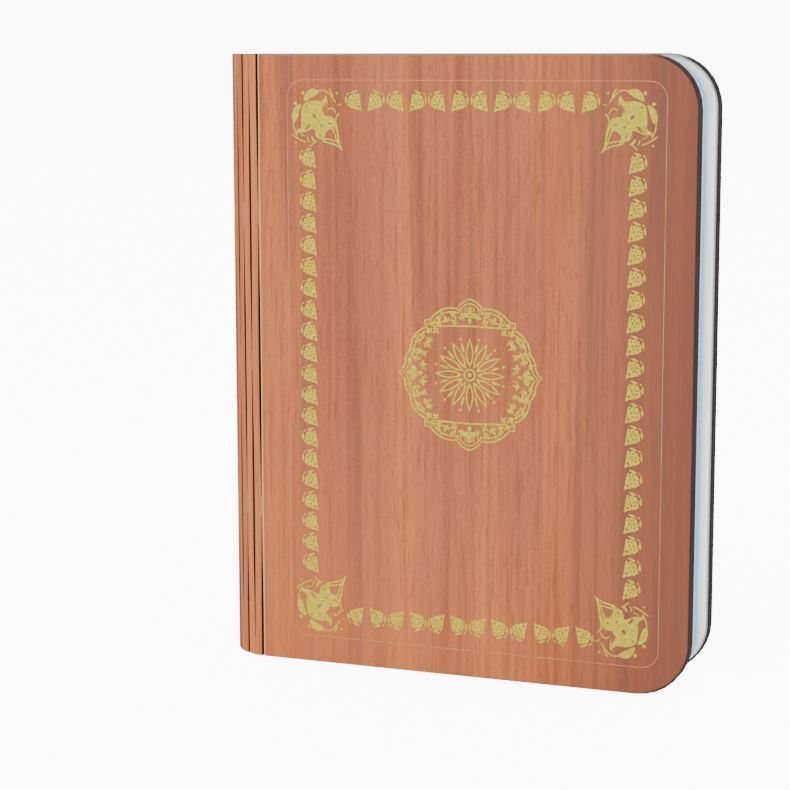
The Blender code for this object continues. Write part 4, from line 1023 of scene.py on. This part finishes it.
for label, middle, side_x, side_z in (
    ("top_left", (21.5, 193.0), 1, 1),
    ("top_right", (133.2, 193.5), -1, 1),
    ("low_left", (22.1, 21.2), 1, -1),
    ("low_right", (132.8, 22.0), -1, -1),
):
    union_film(f"corner_{label}", [corner_flower()] + corner_sprays(), film_gold, side_x, side_z, middle)


# Round medallion
MEDALLION_X, MEDALLION_Z = 77.8, 106.4


def mirrored_outline(quarter):
    """A closed outline from its upper right quarter, which runs from the top to the right."""
    right = quarter + [(x, -z) for x, z in reversed(quarter[:-1])]
    return right + [(-x, z) for x, z in reversed(right[1:-1])]


def shrunk(loop, by):
    """An outline drawn in towards the middle by a distance."""
    out = []
    for x, z in loop:
        size = math.hypot(x, z)
        out.append((x * (size - by) / size, z * (size - by) / size))
    return out


def trefoil(x, z, angle, size):
    """Three leaves on a short stem."""
    parts = []
    for lean, share in ((-62, 0.72), (0, 1.0), (62, 0.72)):
        a = math.radians(angle + lean)
        parts.append([leaf_shape(x, z, a, size * share, size * 0.44, 0.0, 5)])
    back = math.radians(angle + 180)
    parts.append([stroke([(x, z), (x + 0.4 * size * math.cos(back), z + 0.4 * size * math.sin(back))], 0.45)])
    return parts


QUARTER = [
    (0, 26.3), (1.5, 25.9), (2.8, 25.0), (3.9, 24.0), (4.6, 22.9), (6.2, 23.2), (8.2, 23.0), (10.2, 22.4),
    (12.0, 21.3), (13.4, 20.0), (14.6, 18.7), (16.4, 18.6), (16.4, 15.9), (18.2, 15.0), (19.8, 13.6),
    (21.0, 11.8), (21.6, 9.8), (21.9, 8.0), (23.0, 6.6), (23.7, 4.8), (23.8, 3.0), (24.6, 1.3), (26.0, 0),
]
medallion = []
rim = mirrored_outline(QUARTER)
medallion.append([rim, shrunk(rim, 0.62)])
medallion.append([shrunk(rim, 1.45), shrunk(rim, 1.95)])
SPRIGS = (
    (2.6, 19.4, 70, 2.3), (5.0, 18.0, 20, 2.3), (6.2, 20.0, 120, 2.1), (8.2, 18.2, 60, 2.4),
    (10.6, 17.8, -10, 2.3),
    (11.2, 19.0, 80, 1.5), (13.4, 16.9, 60, 1.9), (11.8, 15.2, -40, 2.1), (14.2, 14.4, 40, 2.2),
    (14.4, 12.0, -70, 2.2), (16.6, 12.8, 10, 2.3), (16.2, 10.2, 200, 2.1), (18.4, 10.6, 60, 2.2),
    (18.2, 8.0, -60, 2.4), (20.0, 7.2, 45, 2.0), (16.8, 6.6, 150, 1.9), (19.4, 4.6, 100, 2.4),
    (21.4, 3.6, 30, 1.8),
    (17.4, 3.2, 190, 2.2), (20.2, 1.9, -20, 1.9),
)
TENDRILS = (
    (1.0, 21.8, 20, 0.8), (4.0, 21.0, 60, 0.9), (9.6, 20.6, 10, 0.8), (15.4, 16.6, -20, 0.7),
    (19.6, 12.0, 90, 0.7), (21.2, 5.6, 80, 0.7), (17.0, 1.2, 120, 0.8), (14.9, 9.0, 100, 0.6),
)
CHORD = [(0.0, 16.55), (13.2, 16.1), (14.8, 17.3), (13.4, 16.75), (0.0, 17.15)]
for flip_x in (False, True):
    for flip_z in (False, True):
        quarter_parts = []
        for x, z, angle, size in SPRIGS:
            quarter_parts += trefoil(x, z, angle, size)
        for x, z, angle, size in TENDRILS:
            quarter_parts.append([curl(x, z, math.radians(angle), size, 0.8, 0.5)])
        quarter_parts.append([CHORD])
        for part in quarter_parts:
            medallion.append(placed(part, 0, 0, flip_x=flip_x, flip_z=flip_z))
for turn in (0, math.pi / 2, math.pi, -math.pi / 2):
    reach = 19.4 if turn in (0, math.pi) else 19.9
    for part in trefoil(reach, 0.0, 0.0, 4.0):
        medallion.append(placed(part, 0, 0, turn=turn))
    medallion.append(placed([leaf_shape(reach - 0.2, 0.0, math.pi, 2.4, 1.4)], 0, 0, turn=turn))

# A plain geometric rosette in the middle
PETALS = 12
for i in range(PETALS):
    turn = 2 * math.pi * i / PETALS
    petal = [leaf_shape(2.6, 0.0, 0.0, 10.2, 3.0), leaf_shape(4.0, 0.0, 0.0, 7.4, 1.8)]
    medallion.append(placed(petal, 0, 0, turn=turn))
    medallion.append(placed([spot(12.6, 0.0, 0.5)], 0, 0, turn=turn + math.pi / PETALS))
    medallion.append(placed([leaf_shape(7.6, 0.0, 0.0, 4.0, 1.0)], 0, 0, turn=turn + math.pi / PETALS))
medallion.append([circle(2.2, 24), circle(1.55, 24)])
medallion.append([circle(0.8, 12)])
union_film("medallion", [placed(loops, MEDALLION_X, MEDALLION_Z) for loops in medallion], film_gold)


# Stage: pale floor and soft studio light
def plain_material(name, colour, rough):
    """A pale matt surface with a faint mottle."""
    n = Nodes(name)
    mottle = n.noise(n.scaled(n.coordinates(), (6, 6, 6)), 1, 2, 0.5)
    shade = n.mix(n.band(mottle, 0.3, 0.7), colour, tuple(c * 0.985 for c in colour))
    return n.set(colour=shade, rough=rough, specular=0.2)


def seen_white(tree, shader, strength):
    """Add a glow that only the camera sees, so that the stage looks white and lights nothing."""
    ray = tree.nodes.new("ShaderNodeLightPath")
    glow = tree.nodes.new("ShaderNodeEmission")
    glow.inputs["Color"].default_value = (1, 1, 1, 1)
    power = tree.nodes.new("ShaderNodeMath")
    power.operation = "MULTIPLY"
    tree.links.new(ray.outputs["Is Camera Ray"], power.inputs[0])
    power.inputs[1].default_value = strength
    tree.links.new(power.outputs[0], glow.inputs["Strength"])
    both = tree.nodes.new("ShaderNodeAddShader")
    tree.links.new(shader.outputs[0], both.inputs[0])
    tree.links.new(glow.outputs[0], both.inputs[1])
    return both


FLOOR_GLOW, BACKGROUND_GLOW = 9.6, 9.4
FLOOR_HALF = 3
floor_material = plain_material("pale_floor", (0.88, 0.88, 0.88), 0.8)
tree = floor_material.node_tree
both = seen_white(tree, tree.nodes["Principled BSDF"], FLOOR_GLOW)
tree.links.new(both.outputs[0], tree.nodes["Material Output"].inputs["Surface"])
floor_corners = [(FLOOR_HALF * x, FLOOR_HALF * y, 0) for x, y in ((-1, -1), (1, -1), (1, 1), (-1, 1))]
floor = mesh_piece("floor", floor_corners, [(0, 1, 2, 3)], floor_material)

world = bpy.data.worlds.new("studio")
bpy.context.scene.world = world
world.use_nodes = True
background = world.node_tree.nodes["Background"]
background.inputs["Color"].default_value = (1.0, 1.0, 1.0, 1)
background.inputs["Strength"].default_value = 0.95
both = seen_white(world.node_tree, background, BACKGROUND_GLOW)
world.node_tree.links.new(both.outputs[0], world.node_tree.nodes["World Output"].inputs["Surface"])


def area_light(name, place, target, size, power):
    """A soft square light that looks at a target."""
    light = bpy.data.lights.new(name, "AREA")
    light.shape = "SQUARE"
    light.size = size
    light.energy = power
    obj = bpy.data.objects.new(name, light)
    bpy.context.scene.collection.objects.link(obj)
    obj.location = place
    obj.rotation_euler = (Vector(target) - Vector(place)).to_track_quat("-Z", "Y").to_euler()


area_light("key_light", (-0.7, -0.9, 0.9), (0, 0, 0.1), 0.7, 7.0)
area_light("right_fill", (1.0, -0.25, 0.5), (0.05, 0, 0.1), 0.8, 3.0)

# Camera at the photo's angle
camera = bpy.data.cameras.new("photo_camera")
camera.lens = 100.04
camera.sensor_width = 36.0
camera_object = bpy.data.objects.new("photo_camera", camera)
bpy.context.scene.collection.objects.link(camera_object)
camera_object.location = (0.24410, -0.72010, 0.21613)
camera_object.rotation_euler = (math.radians(81.066), math.radians(0.097), math.radians(20.538))
bpy.context.scene.camera = camera_object
